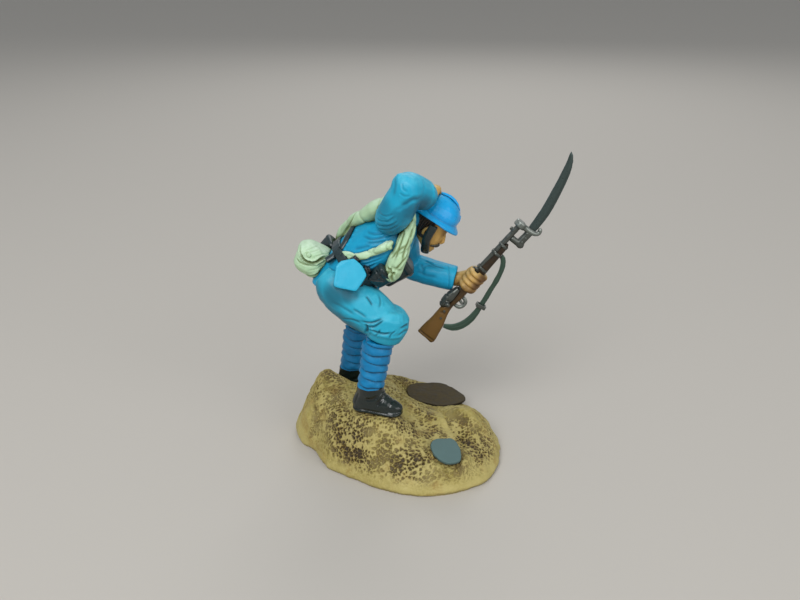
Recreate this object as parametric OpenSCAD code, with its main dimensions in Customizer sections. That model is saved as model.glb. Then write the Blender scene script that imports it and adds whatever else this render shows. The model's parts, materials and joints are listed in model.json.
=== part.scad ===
/* [Base] */
// Length of the base, along the way the figure faces
base_length = 37; // [34:0.5:44]
// Width of the base, from side to side
base_width = 35.5; // [32:0.5:42]
// Height of the ground under the right boot
ground_height = 9.9; // [8.5:0.1:11]
// Height of the smooth rim round the base
rim_height = 1.6; // [1:0.1:2.4]
// Length of the smooth stone set in the ground
stone_length = 5; // [3.5:0.1:6]
// Height of the stone above the ground
stone_height = 0.3; // [0.2:0.1:0.8]
// Thickness of the flat mud patch
mud_thickness = 0.6; // [0.4:0.1:1]

/* [Legs] */
// Length of the shin, from ankle to knee
shin_length = 11.4; // [10.8:0.1:12.2]
// Length of the thigh, from knee to hip
thigh_length = 10.3; // [9.7:0.1:11]
// Forward lean of the right shin, in degrees
shin_lean = 14; // [8:1:18]
// Rise of the right thigh above the level, in degrees
thigh_rise = 31; // [27:1:36]
// Distance from the body's middle to each hip
hip_half_width = 3.2; // [2.9:0.1:3.5]
// Half thickness of a thigh
thigh_radius = 3.8; // [3.5:0.1:4.1]
// Half thickness of a wrapped shin
puttee_radius = 2.35; // [2.1:0.05:2.6]
// Turns of cloth round each shin
puttee_turns = 7; // [5:1:9]
// How far each turn stands out over the one below
puttee_step = 0.22; // [0.1:0.02:0.35]
// Length of a boot
boot_length = 8.6; // [7.8:0.1:9.4]
// Width of a boot
boot_width = 3.3; // [3:0.1:3.7]
// Thickness of a boot's sole
sole_thickness = 0.6; // [0.4:0.05:0.9]

/* [Body] */
// Length of the back, from hips to the base of the neck
torso_length = 16.5; // [15.8:0.1:17.2]
// Forward lean of the back, in degrees
torso_lean = 48.7; // [45:0.5:52]
// Half depth of the chest, from front to back
chest_half_depth = 4.6; // [4.3:0.1:4.9]
// Half width of the chest
chest_half_width = 5.7; // [5.4:0.1:6.1]
// Width of the belt's leather
belt_width = 1.5; // [1.1:0.1:1.9]
// Thickness of the belt's leather
belt_thickness = 0.4; // [0.3:0.05:0.6]
// Half thickness of a sleeve at the shoulder
sleeve_radius = 2.9; // [2.6:0.1:3.2]
// Half thickness of a sleeve at its cuff
cuff_radius = 2.05; // [1.9:0.05:2.2]

/* [Head] */
// Height of the head, from chin to crown
head_height = 7.4; // [7:0.1:7.8]
// Half width of the head
head_half_width = 2.5; // [2.3:0.1:2.7]
// Forward tilt of the head, in degrees
head_tilt = 34.5; // [30:0.5:38]
// Half length of the helmet's bowl
helmet_half_length = 3.55; // [3.4:0.05:3.8]
// Half width of the helmet's bowl
helmet_half_width = 3.2; // [3.05:0.05:3.4]
// Height of the helmet's bowl above its brim
helmet_height = 3.65; // [3.4:0.05:3.9]
// Width of the helmet's brim at the front
brim_width = 0.95; // [0.7:0.05:1.2]
// Height of the comb along the helmet's top
comb_height = 0.45; // [0.35:0.05:0.6]

/* [Kit] */
// Half thickness of the blanket roll
roll_radius = 1.35; // [1.2:0.05:1.5]
// Length of the bread bag
bag_length = 6.6; // [6:0.1:7.2]
// Height of the bread bag
bag_height = 5; // [4.8:0.1:5.8]
// Width of the canteen's body at its shoulders
canteen_width = 4.9; // [4.4:0.1:5.4]
// Height of the canteen's body
canteen_height = 5; // [4.5:0.1:5.5]
// Thickness of the canteen
canteen_thickness = 2.4; // [2:0.1:2.8]
// Outer radius of a canteen spout
spout_radius = 0.55; // [0.45:0.05:0.65]
// Width of a leather strap
strap_width = 1.1; // [0.9:0.05:1.3]
// Thickness of a leather strap
strap_thickness = 0.4; // [0.3:0.05:0.6]

/* [Rifle] */
// Length of the rifle from butt to muzzle
rifle_length = 25; // [24:0.25:26]
// Upward slope of the rifle, in degrees
rifle_pitch = 50.7; // [47:0.5:54]
// Outer radius of the barrel
barrel_radius = 0.48; // [0.42:0.02:0.56]
// Half thickness of the stock's fore end
stock_radius = 0.8; // [0.72:0.02:0.9]
// Length of the bayonet's blade
blade_length = 13.8; // [13:0.1:14.5]
// Height of the blade from back to edge
blade_height = 1.75; // [1.5:0.05:2]
// Thickness of the blade
blade_thickness = 0.5; // [0.4:0.05:0.65]
// Length of the bayonet's grip
bayonet_grip_length = 3; // [2.7:0.1:3.3]
// Width of the sling
sling_width = 1.25; // [1.05:0.05:1.45]

/* [Fit] */
// Gap left round each plug and peg for cement
cement_gap = 0.05; // [0.03:0.01:0.1]
// Radius of the pegs that join the castings
peg_radius = 0.6; // [0.5:0.05:0.7]
// Length of the pegs
peg_length = 1.6; // [1.2:0.1:2]

/* [Hidden] */

// Smoothness of round forms and the colours of the paint
$fn = 24;
sky = "#35a8cf";
light_sky = "#58bfdc";
helmet_blue = "#1189dc";
cream = "#c9cfa4";
leather = "#3a4240";
skin = "#b8863c";
black = "#16181a";
gunmetal = "#3d4444";
walnut = "#6b4a1e";
steel = "#566460";
sand = "#b89a5c";

// ---- Forms ---------------------------------------------------------------

function unit(v) = v / norm(v);
function mix(a, b, t) = a + (b - a) * t;
function spot(s) = [s[0], s[1], s[2]];

// A smooth curve through the stations, at a share t of the way from one to the next
function between(p, i, t) =
  let (a = p[max(i - 1, 0)], b = p[i], c = p[i + 1], d = p[min(i + 2, len(p) - 1)])
  0.5 * (2 * b + (c - a) * t + (2 * a - 5 * b + 4 * c - d) * t * t + (3 * b - a - 3 * c + d) * t * t * t);
function smooth(p, steps) = concat(
  [for (i = [0 : len(p) - 2]) for (k = [0 : steps - 1]) between(p, i, k / steps)],
  [p[len(p) - 1]]);

// Point j of a ring, squarer as its power rises above 1
function ring_point(j, sides, power) =
  let (a = 360 * j / sides, c = cos(a), s = sin(a),
    k = pow(pow(abs(c), 2 * power) + pow(abs(s), 2 * power), -0.5 / power))
  [c * k, s * k];
function ring(at, u, v, half_u, half_v, sides, power) = [
  for (j = [0 : sides - 1])
    let (q = ring_point(j, sides, power))
    at + half_u * q[0] * u + half_v * q[1] * v];

// A closed solid over a list of rings with equal counts of points
module skin_over(rings) {
  n = len(rings[0]);
  m = len(rings);
  points = concat([for (r = rings) each r], [mean_of(rings[0]), mean_of(rings[m - 1])]);
  faces = concat(
    [for (j = [0 : n - 1]) [m * n, j, (j + 1) % n]],
    [for (i = [0 : m - 2])
      for (j = [0 : n - 1])
        let (a = i * n + j, b = i * n + (j + 1) % n, c = b + n, d = a + n)
        each [[a, c, b], [a, d, c]]],
    [for (j = [0 : n - 1]) [m * n + 1, (m - 1) * n + (j + 1) % n, (m - 1) * n + j]]);
  polyhedron(points, faces, convexity = 6);
}
function mean_of(r) = let (n = len(r)) [for (k = [0 : 2]) sum_of([for (p = r) p[k]]) / n];
function sum_of(v, i = 0) = i < len(v) ? v[i] + sum_of(v, i + 1) : 0;

// A limb or strap through stations [x, y, z, half across, half along the other way]
module loft(stations, across = [0, 1, 0], sides = 16, steps = 2, power = 1) {
  st = smooth(stations, steps);
  last = len(st) - 1;
  skin_over([
    for (i = [0 : last])
      let (along = unit(spot(st[min(i + 1, last)]) - spot(st[max(i - 1, 0)])),
           u = unit(cross(across, along)), v = cross(along, u))
      ring(spot(st[i]), u, v, st[i][3], st[i][4], sides, power)]);
}

// A trunk of rings [forward, up, half depth, half width, tilt], each turned by its tilt
module trunk(stations, sides = 24, steps = 3, power = 1.15) {
  skin_over([
    for (s = smooth(stations, steps))
      ring([s[0], 0, s[1]], [cos(s[4]), 0, sin(s[4])], [0, 1, 0], s[2], s[3], sides, power)]);
}

// A flat plate whose corners [x, y] are rounded by a radius
module rounded_plate(corners, thickness, radius) {
  translate([0, 0, -thickness / 2])
    linear_extrude(thickness)
      offset(r = radius)
        offset(delta = -radius)
          polygon(corners);
}

// ---- Stance: joints of the figure, from the ground up --------------------

ankle_height = 4.65;
right_ankle = [-4.9, -5.6, ground_height + ankle_height];
left_ground = ground_height - 3.5;
left_ankle = [-8.7, 7.4, left_ground + ankle_height];
right_knee = right_ankle + shin_length * [sin(shin_lean), 0, cos(shin_lean)];
thigh_turn = 15.8;
right_hip = right_knee + thigh_length
  * [-cos(thigh_rise) * cos(thigh_turn), cos(thigh_rise) * sin(thigh_turn), sin(thigh_rise)];
hips = [right_hip[0], 0, right_hip[2]];
left_hip = hips + [0, hip_half_width, 0];
knee_bend = 3.9;
left_knee = mix(left_hip, left_ankle, 0.45) + knee_bend * [1, 0.1, 0.15];

// A place given forward, left and up along the back, from the hips
function on_body(p) = hips + [
  p[0] * cos(torso_lean) + p[2] * sin(torso_lean),
  p[1],
  p[2] * cos(torso_lean) - p[0] * sin(torso_lean)];
module at_body() {
  translate(hips)
    rotate([0, torso_lean, 0])
      children();
}

neck = on_body([0.4, 0, torso_length]);
head_centre = neck + [2.6, 0, -1.2];
function on_head(p) = head_centre + [
  p[0] * cos(head_tilt) + p[2] * sin(head_tilt),
  p[1],
  p[2] * cos(head_tilt) - p[0] * sin(head_tilt)];
module at_head() {
  translate(head_centre)
    rotate([0, head_tilt, 0])
      children();
}
brim_level = 1.85;
palm_on_helmet = on_head([-3.0, -0.7, brim_level + helmet_height - 0.45]);

right_shoulder = on_body([-1.2, -4.4, torso_length - 4.4]);
right_elbow = right_shoulder + [3.0, -3.1, 9.1];
right_wrist = palm_on_helmet + [-0.9, -2.3, -0.75];
left_shoulder = on_body([0.6, 4.5, torso_length - 3.4]);
left_elbow = left_shoulder + [1.6, 2.3, -8.4];
left_wrist = left_elbow + [8.1, -2, -1.5];

// The rifle lies in the left fist, with x along it towards the muzzle and z to its sights
grip_place = left_wrist + [2.5, -1.6, 0.3];
rifle_turn = -1.4;
module at_rifle() {
  translate(grip_place)
    rotate([0, -rifle_pitch, rifle_turn])
      children();
}
muzzle = rifle_length * 0.485;
butt = muzzle - rifle_length;

// ---- Groundwork ----------------------------------------------------------

// The rim's reach at 18 bearings, as shares of the base's half length and width
rim_reach = [
  0.96, 0.89, 0.91, 0.96, 1.01, 1.02, 1.01, 1, 1, 0.96, 0.8, 0.82, 0.8, 0.87, 0.98, 1.07, 1.1, 1.04];
rim_count = len(rim_reach);
base_sides = 54;
function rim_share(bearing) =
  let (t = bearing / 360 * rim_count, i = floor(t), f = t - i,
       a = rim_reach[(i + rim_count - 1) % rim_count], b = rim_reach[i % rim_count],
       c = rim_reach[(i + 1) % rim_count], d = rim_reach[(i + 2) % rim_count])
  0.5 * (2 * b + (c - a) * f + (2 * a - 5 * b + 4 * c - d) * f * f + (3 * b - a - 3 * c + d) * f * f * f);
base_shift = [-0.8, 0.8];
function rim_at(bearing, share) = [
  base_shift[0] + base_length / 2 * rim_share(bearing) * share * cos(bearing),
  base_shift[1] + base_width / 2 * rim_share(bearing) * share * sin(bearing)];

// Broad mounds of the ground: [x, y, share of the mound's height, reach along x, reach along y]
mounds = [
  [-10, 1.5, 1, 11.5, 12],
  [13.2, -0.8, 0.3, 3.6, 3.4],
  [-8, 3.2, 0.2, 5.5, 3],
  [-14.5, 7, 0.75, 3.6, 5.0],
  [-9, 10.5, 0.3, 5, 3]];
// Ridges and hollows on them: [x, y, rise, half length, half width, bearing]
ridges = [
  [-8.6, -8.4, -1.1, 5.4, 1.4, -61],
  [-12.6, -6.2, 0.6, 4, 1.5, -80],
  [-4.6, -11, 0.6, 4.4, 1.6, -60],
  [2.0, -6.2, -0.25, 3.5, 2.2, 35],
  [4.2, -0.9, 1.0, 6.5, 1.5, -30],
  [7.1, -6.2, 0.6, 2.6, 1.1, -75],
  [10.4, -7, -0.8, 3, 1.5, -57],
  [11.6, -1, 1.3, 3.2, 1.9, -8],
  [13.8, -5.2, 0.6, 3, 1.2, -80],
  [15.2, -8.8, -0.5, 3, 1.3, -70],
  [6.2, -15.2, -0.7, 2.8, 1.0, 12],
  [-15.6, 4.6, 0.3, 3.4, 3.0, 60],
  [0.4, -8.6, 1.5, 6.5, 3.4, -28],
  [-9.5, -5.2, 0.9, 3.6, 2.6, -10],
  [-17.2, 0.2, 1.3, 2.4, 2.2, 0]];
ground_rise = 3.2;
mound_height = ground_height - rim_height - ground_rise;
function bump(x, y, m) = m[2] * exp(-pow((x - m[0]) / m[3], 2) - pow((y - m[1]) / m[4], 2));
function ridge_rise(x, y, r) =
  let (a = (x - r[0]) * cos(r[5]) + (y - r[1]) * sin(r[5]),
    b = (y - r[1]) * cos(r[5]) - (x - r[0]) * sin(r[5]))
  r[2] * exp(-pow(a / r[3], 2) - pow(b / r[4], 2));
function level_to(h, x, y, at, radius, blend, height) =
  let (d = norm([x - at[0], y - at[1]]), t = min(1, max(0, (d - radius) / blend)), k = t * t * (3 - 2 * t))
  mix(height, h, k);
function ground(x, y, share) =
  let (edge = 1 - pow(share, 7),
       wild = rim_height + ground_rise + mound_height * sum_of([for (m = mounds) bump(x, y, m)])
         + sum_of([for (r = ridges) ridge_rise(x, y, r)]),
       r = level_to(wild, x, y, [-3.9, -6], 2.9, 3.4, ground_height),
       l = level_to(r, x, y, [-7.2, 8.2], 3.2, 2.2, left_ground),
       s = level_to(l, x, y, stone_at, stone_length / 2, 3, stone_ground),
       w = level_to(s, x, y, mud_at, 5.2, 3.5, mud_ground))
  rim_height + (w - rim_height) * edge;
stone_at = [0.198 * base_length, -0.327 * base_width];
stone_ground = 5.4;
mud_at = [6.6, 11.4];
mud_ground = 2.6;
ground_rings = 13;

module ground_form() {
  shares = [for (i = [ground_rings : -1 : 1]) i / ground_rings];
  skin_over(concat(
    [[for (j = [0 : base_sides - 1]) let (p = rim_at(360 * j / base_sides, 0.985)) [p[0], p[1], 0]]],
    [for (s = shares)
      [for (j = [0 : base_sides - 1])
        let (p = rim_at(360 * j / base_sides, s), lip = s == 1 ? rim_height * 0.45 : 0)
        [p[0], p[1], s == 1 ? lip : ground(p[0], p[1], s)]]],
    [[for (j = [0 : base_sides - 1])
      let (p = rim_at(360 * j / base_sides, 0.012))
      [p[0], p[1], ground(p[0], p[1], 0)]]]));
}

module base_terrain() {
  color(sand)
    difference() {
      ground_form();
      mud_form();
      stone_form();
      foot_peg(right_ankle, ground_height, cement_gap);
      foot_peg(left_ankle, left_ground, cement_gap);
      boot_form(right_ankle, -16, 0);
      boot_form(left_ankle, 10, 0);
    }
}

module oval_slab(half_length, half_width, height) {
  linear_extrude(height)
    polygon([for (k = [0 : 29]) [half_length * cos(12 * k), half_width * sin(12 * k)]]);
}
module mud_form() {
  translate([mud_at[0], mud_at[1], mud_ground - mud_thickness / 2])
    rotate([0, 0, -24])
      oval_slab(5.9, 4.1, mud_thickness);
}
module mud_patch() {
  color("#3a3026") mud_form();
}

// A flat-topped stone, bedded in the ground
module stone_form() {
  outline = [[-0.5, 0.1], [-0.36, 0.42], [0.16, 0.5], [0.5, 0.22], [0.44, -0.34], [0.02, -0.5],
    [-0.36, -0.36]];
  translate([stone_at[0], stone_at[1], stone_ground])
    rotate([14, 4, 0])
      rounded_plate([for (p = outline) stone_length * p], 2 * stone_height, 0.9);
}
module grey_stone() {
  color("#6f8790") stone_form();
}

// ---- Boots and puttees ---------------------------------------------------

// A peg under each boot, which goes down into the ground
module foot_peg(ankle, floor_level, gap) {
  translate([ankle[0] + 0.6, ankle[1], floor_level - peg_length])
    cylinder(r = peg_radius + gap, h = peg_length + 0.4);
}

// Boot sections from the sole up: [level, heel, toe, half width] as shares of the boot's sizes
boot_sections = [
  [0.08, -0.34, 0.62, 0.9], [0.16, -0.36, 0.65, 0.95], [0.3, -0.37, 0.64, 0.96], [0.42, -0.35, 0.55, 0.93],
  [0.54, -0.32, 0.42, 0.9], [0.68, -0.29, 0.32, 0.92], [0.84, -0.27, 0.27, 0.98],
  [1.04, -0.26, 0.25, 1.06]];
function boot_ring(s) =
  ring([(s[1] + s[2]) / 2 * boot_length, 0, s[0] * ankle_height], [1, 0, 0], [0, 1, 0],
    (s[2] - s[1]) / 2 * boot_length, s[3] * boot_width / 2, 20, 1.12);
module boot_form(ankle, turn, sole_out) {
  floor_level = ankle[2] - ankle_height;
  translate([ankle[0], ankle[1], floor_level])
    rotate([0, 0, turn])
      boot_sole(sole_out);
}
module boot_sole(out) {
  linear_extrude(sole_thickness)
    offset(r = out)
      hull() {
        translate([-0.19 * boot_length, 0]) circle(r = 0.44 * boot_width);
        translate([0.44 * boot_length, 0]) circle(r = 0.53 * boot_width);
      }
}
module boot(ankle, turn) {
  floor_level = ankle[2] - ankle_height;
  difference() {
    union() {
      boot_form(ankle, turn, 0);
      foot_peg(ankle, floor_level, 0);
      translate([ankle[0], ankle[1], floor_level])
        rotate([0, 0, turn])
          skin_over([for (s = smooth(boot_sections, 2)) boot_ring(s)]);
    }
    translate(ankle)
      cylinder(r = boot_length, h = 3);
  }
}
module right_boot() {
  color(black) boot(right_ankle, -16);
}
module left_boot() {
  color(black) boot(left_ankle, 10);
}

// The breeches end at this share of the shin, where the topmost wrap begins
hem_share = 0.78;

// Each turn of cloth starts narrow and swells to overlap the one above
function wrap_radius(t) =
  puttee_radius * (0.88 + 0.22 * t - 0.04 * t * t);
function wrap_stations(ankle, knee) =
  let (foot = mix(ankle, knee, -0.06), top = mix(ankle, knee, hem_share), n = puttee_turns)
  [for (i = [0 : n - 1])
    for (e = [0, 0.3, 0.8, 0.97])
      let (t = (i + e) / n, p = mix(foot, top, t),
           r = wrap_radius(t) + puttee_step * [0, 0.7, 1, 0.55][round(e * 3.2)])
      [p[0], p[1], p[2], r, r * 0.94]];
module puttee(ankle, knee) {
  difference() {
    loft(wrap_stations(ankle, knee), across = [0, 1, 0], sides = 15, steps = 1);
    translate(ankle - [0, 0, 3])
      cylinder(r = boot_length, h = 3);
  }
}
module right_puttee() {
  color(helmet_blue)
    puttee(right_ankle, right_knee);
}
module left_puttee() {
  color(helmet_blue)
    puttee(left_ankle, left_knee);
}

// ---- Breeches and tunic --------------------------------------------------

function limb_at(a, b, t, lift, half_u, half_v) =
  let (p = mix(a, b, t) + lift)
  [p[0], p[1], p[2], half_u, half_v];
module leg(hip, knee, ankle) {
  r = thigh_radius;
  hem = mix(ankle, knee, hem_share);
  loft([
    limb_at(hip, knee, -0.26, [0.6, 0, 0.8], r * 0.5, r * 0.5),
    limb_at(hip, knee, -0.14, [0.6, 0, 0.6], r * 0.8, r * 0.8),
    limb_at(hip, knee, 0.1, [0.3, 0, 0.4], r * 0.96, r * 0.92),
    limb_at(hip, knee, 0.45, [0, 0, 0.25], r * 1.01, r * 0.95),
    limb_at(hip, knee, 0.78, [0, 0, 0.3], r * 0.94, r * 0.9),
    limb_at(hip, knee, 1.02, [0, 0, 0.2], r * 0.72, r * 0.72),
    limb_at(hip, knee, 1.16, [0, 0, 0.1], r * 0.25, r * 0.25)], sides = 18, steps = 2);
  along = unit(knee - ankle);
  loft([
    knee_ring(hem, along * 5.4, r * 0.6, r * 0.6),
    knee_ring(hem, along * 4.4, r * 0.88, r * 0.84),
    knee_ring(hem, along * 2.7, r * 0.95, r * 0.88),
    knee_ring(hem, along * 1.1, r * 0.84, r * 0.8),
    knee_ring(hem, along * 0.02, r * 0.72, r * 0.7)], sides = 16, steps = 1);
}
function knee_ring(hem, lift, half_u, half_v) = concat(hem + lift, [half_u, half_v]);
module breeches_form() {
  leg(right_hip, right_knee, right_ankle);
  leg(left_hip, left_knee, left_ankle);
  loft([
    concat(hips + [0.9, -4.8, 0.2], [1.9, 1.9]),
    concat(hips + [0.7, -3, 0.1], [3.3, 3.3]),
    concat(hips + [0.7, 3, 0.1], [3.3, 3.3]),
    concat(hips + [0.9, 4.8, 0.2], [1.9, 1.9])], across = [1, 0, 0], sides = 16, steps = 1);
}
module breeches() {
  color(light_sky)
    difference() {
      breeches_form();
      tunic_form();
    }
}

// Rings of the tunic up the back, from the hem to the neck, in the body's own frame
chest = chest_half_depth;
breadth = chest_half_width;
tunic_rings = [
  [1.7, 1.5, chest * 1.3, breadth * 1.0, 43],
  [0.9, 3.0, chest * 1.06, breadth * 0.96, 25],
  [0.2, 5.0, chest * 0.97, breadth * 0.92, 8],
  [0.2, 8.7, chest, breadth * 0.98, 0],
  [0.15, torso_length - 4.2, chest * 0.88, breadth, 0],
  [0.15, torso_length - 1.9, chest * 0.64, breadth * 0.8, 0],
  [0.35, torso_length - 0.1, chest * 0.36, breadth * 0.36, 0]];
module tunic_form() {
  at_body()
    trunk(tunic_rings, sides = 24, steps = 2);
}
module tunic() {
  color(sky)
    difference() {
      tunic_form();
      neck_plug(cement_gap);
    }
}
module collar_form() {
  loft([
    concat(neck - [1.2, 0, 0.7], [1.9, 2.0]),
    concat(neck + [0.9, 0, 0.1], [1.85, 2.0]),
    concat(neck + [1.6, 0, 0.35], [1.7, 1.85])], sides = 18, steps = 1);
}
module collar() {
  color(sky)
    difference() {
      collar_form();
      tunic_form();
      neck_form();
      head_form();
    }
}

// ---- Arms and hands ------------------------------------------------------

module right_sleeve_form() {
  s = right_shoulder;
  e = right_elbow;
  w = right_wrist;
  r = sleeve_radius;
  loft([
    limb_at(s, e, 0.14, [-0.2, 1.9, 0.5], r * 0.55, r * 0.55),
    limb_at(s, e, 0.3, [0, 0.7, 0.3], r * 0.86, r * 0.9),
    limb_at(s, e, 0.52, [0.25, 0, 0], r * 0.94, r * 0.96),
    limb_at(s, e, 0.85, [0.6, 0, 0], r * 0.86, r * 0.88),
    limb_at(s, e, 1.0, [0.4, 0, 0], r * 0.76, r * 0.76),
    limb_at(s, e, 1.12, [0.3, 0, 0], r * 0.5, r * 0.5),
    limb_at(s, e, 1.17, [0.3, 0, 0], r * 0.2, r * 0.2)], sides = 16, steps = 2);
  loft([
    limb_at(e, w, -0.12, [0, 0, 0.7], r * 0.34, r * 0.34),
    limb_at(e, w, 0.02, [-0.2, 0, 0.25], r * 0.74, r * 0.74),
    limb_at(e, w, 0.35, [0, 0, 0], r * 0.88, r * 0.84),
    limb_at(e, w, 0.75, [0, 0, 0.3], r * 0.84, r * 0.82),
    limb_at(e, w, 1.0, [0, 0, 0.1], cuff_radius * 0.95, cuff_radius * 0.9)],
    across = [1, 0, 0], sides = 16, steps = 2);
}
module left_sleeve_form() {
  s = left_shoulder;
  e = left_elbow;
  w = left_wrist;
  r = sleeve_radius;
  loft([
    limb_at(s, e, -0.25, [-0.2, -0.7, 0], r * 0.8, r * 0.8),
    limb_at(s, e, 0.05, [0, 0, 0], r * 1.1, r * 0.95),
    limb_at(s, e, 0.5, [0, 0, 0], r * 0.98, r * 0.9),
    limb_at(s, e, 0.85, [0.1, 0, 0], r * 0.84, r * 0.84),
    limb_at(s, e, 1.08, [0.5, 0, 0], r * 0.3, r * 0.3)], sides = 18, steps = 2);
  loft([
    limb_at(e, w, -0.12, [0, 0, 0.5], r * 0.3, r * 0.3),
    limb_at(e, w, 0.02, [0, 0, 0.2], r * 0.74, r * 0.74),
    limb_at(e, w, 0.4, [0, 0, 0], r * 0.8, r * 0.78),
    limb_at(e, w, 1.0, [0, 0, 0], cuff_radius * 1.04, cuff_radius)], sides = 18, steps = 2);
}
module right_sleeve() {
  color(light_sky)
    difference() {
      right_sleeve_form();
      tunic_form();
      helmet_form();
    }
}
module left_sleeve() {
  color(light_sky)
    difference() {
      left_sleeve_form();
      tunic_form();
    }
}

// A fist closed round the rifle: a palm and four curled fingers, with the thumb over the top
finger_radius = 0.46;
grip_gap = 0.05;
module left_hand_form() {
  at_rifle() {
    loft([
      [-0.9, 1.5, 0.3, 0.5, 0.3],
      [-0.7, 1.45, 0.2, 1.0, 0.65],
      [0.4, 1.4, 0.1, 1.3, 0.75],
      [1.6, 1.35, 0.1, 1.15, 0.7],
      [2.2, 1.3, 0.1, 0.6, 0.4]], sides = 14, steps = 2);
    for (k = [0 : 3])
      translate([-0.75 + k * 0.88, 0.1, -0.12])
        rotate([0, 90, 0])
          rotate([0, 0, -105])
            rotate_extrude(angle = 215)
              translate([stock_radius + finger_radius + 0.08, 0])
                circle(r = finger_radius);
    loft([
      [-1.0, 1.2, 0.9, 0.45, 0.45],
      [-0.4, 0.7, 1.15, 0.5, 0.45],
      [0.7, 0.1, 1.25, 0.45, 0.42],
      [1.7, -0.4, 1.15, 0.38, 0.36],
      [2.1, -0.6, 1.0, 0.15, 0.15]], across = [0, 0, 1], sides = 12, steps = 2);
  }
  loft([
    concat(left_wrist - [1.0, -0.2, 0], [1.2, 1.1]),
    concat(left_wrist + [0.6, -0.2, 0], [1.25, 1.1]),
    concat(left_wrist + [2.0, -0.4, 0.2], [1.5, 1.0]),
    concat(left_wrist + [2.8, -0.7, 0.3], [0.9, 0.6])], sides = 14, steps = 2);
}
module left_hand() {
  color(skin)
    difference() {
      left_hand_form();
      left_sleeve_form();
      stock_form(grip_gap);
      barrel_form(grip_gap);
      rifle_bolt_form();
    }
}

// A flat hand laid on the helmet, its fingers over the comb
finger_pitch = 0.62;
module right_hand_form() {
  palm = palm_on_helmet;
  loft([
    concat(right_wrist + [-0.5, -0.9, 0], [0.9, 1.1]),
    concat(right_wrist + [0.2, 0.6, 0.1], [0.85, 1.15]),
    concat(palm + [-0.1, -0.9, 0.2], [0.75, 1.25]),
    concat(palm + [0.1, 0.4, 0.2], [0.7, 1.3]),
    concat(palm + [0.15, 1.0, 0.1], [0.4, 1.0])], across = [1, 0, 0], sides = 14, steps = 2);
  at_head()
    for (k = [0 : 3])
      let (x = k * finger_pitch - 3.75, fall = 0.12 * pow(3 - k, 2))
        loft([
          [x, -0.4, 5.35 - fall, 0.37, 0.37],
          [x + 0.04, 0.9, 5.35 - fall, 0.37, 0.37],
          [x + 0.12, 1.9, 4.95 - fall, 0.36, 0.36],
          [x + 0.2, 2.6, 4.2 - fall, 0.32, 0.32],
          [x + 0.24, 2.85, 3.7 - fall, 0.12, 0.12]], across = [1, 0, 0], sides = 10, steps = 1);
}
module right_hand() {
  color(skin)
    difference() {
      right_hand_form();
      right_sleeve_form();
      helmet_form();
      comb_form();
    }
}

// ---- Head and helmet -----------------------------------------------------

half_head = head_height / 2;
head_rings = [
  [1.95, -1.0, 0.45, 0.5], [1.75, -0.93, 0.95, 0.9], [1.15, -0.72, 1.65, 1.5], [0.5, -0.42, 2.4, 1.95],
  [0.1, -0.08, 2.85, 2.3], [-0.1, 0.26, 3.05, 2.5], [-0.15, 0.6, 2.9, 2.4], [-0.15, 0.86, 2.1, 1.75],
  [-0.1, 1.0, 0.9, 0.8]];
module head_form() {
  at_head()
    skin_over([
      for (s = smooth(head_rings, 2))
        ring([s[0], 0, s[1] * half_head], [1, 0, 0], [0, 1, 0], s[2], s[3] * head_half_width / 2.5, 22,
          1.08)]);
}

// Calm, plain features on even proportions: brow, nose, lips, chin and ears
module features() {
  at_head() {
    loft([
      [2.75, 0, 0.35, 0.25, 0.3],
      [3.05, 0, -0.35, 0.35, 0.34],
      [3.3, 0, -1.05, 0.45, 0.42],
      [3.05, 0, -1.55, 0.3, 0.4]], sides = 10, steps = 1);
    for (side = [-1, 1]) {
      loft([
        [2.75, side * 0.3, 0.55, 0.22, 0.3],
        [2.6, side * 1.0, 0.62, 0.24, 0.34],
        [2.0, side * 1.65, 0.5, 0.2, 0.3]], across = [0, 0, 1], sides = 8, steps = 1);
      translate([-0.35, side * (head_half_width - 0.1), -0.45])
        rotate([side * -14, 8, 0])
          scale([0.62, 0.32, 1])
            sphere(r = 0.95);
    }
    loft([
      [2.35, -0.75, -2.35, 0.16, 0.14],
      [2.72, 0, -2.4, 0.26, 0.2],
      [2.35, 0.75, -2.35, 0.16, 0.14]], across = [0, 0, 1], sides = 8, steps = 1);
  }
}
module neck_form() {
  loft([
    concat(neck - [1.1, 0, 1.1], [1.35, 1.5]),
    concat(neck + [0.6, 0, -0.1], [1.4, 1.5]),
    concat(head_centre + [-0.6, 0, -0.5], [1.5, 1.6])], sides = 16, steps = 2);
}
module neck_plug(gap) {
  at_body()
    translate([0.35, 0, torso_length - 2.4])
      cylinder(r = peg_radius + gap, h = 3.4);
}
module head() {
  color(skin)
    difference() {
      union() {
        head_form();
        features();
        difference() {
          neck_form();
          tunic_form();
        }
        neck_plug(0);
      }
    }
}

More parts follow.
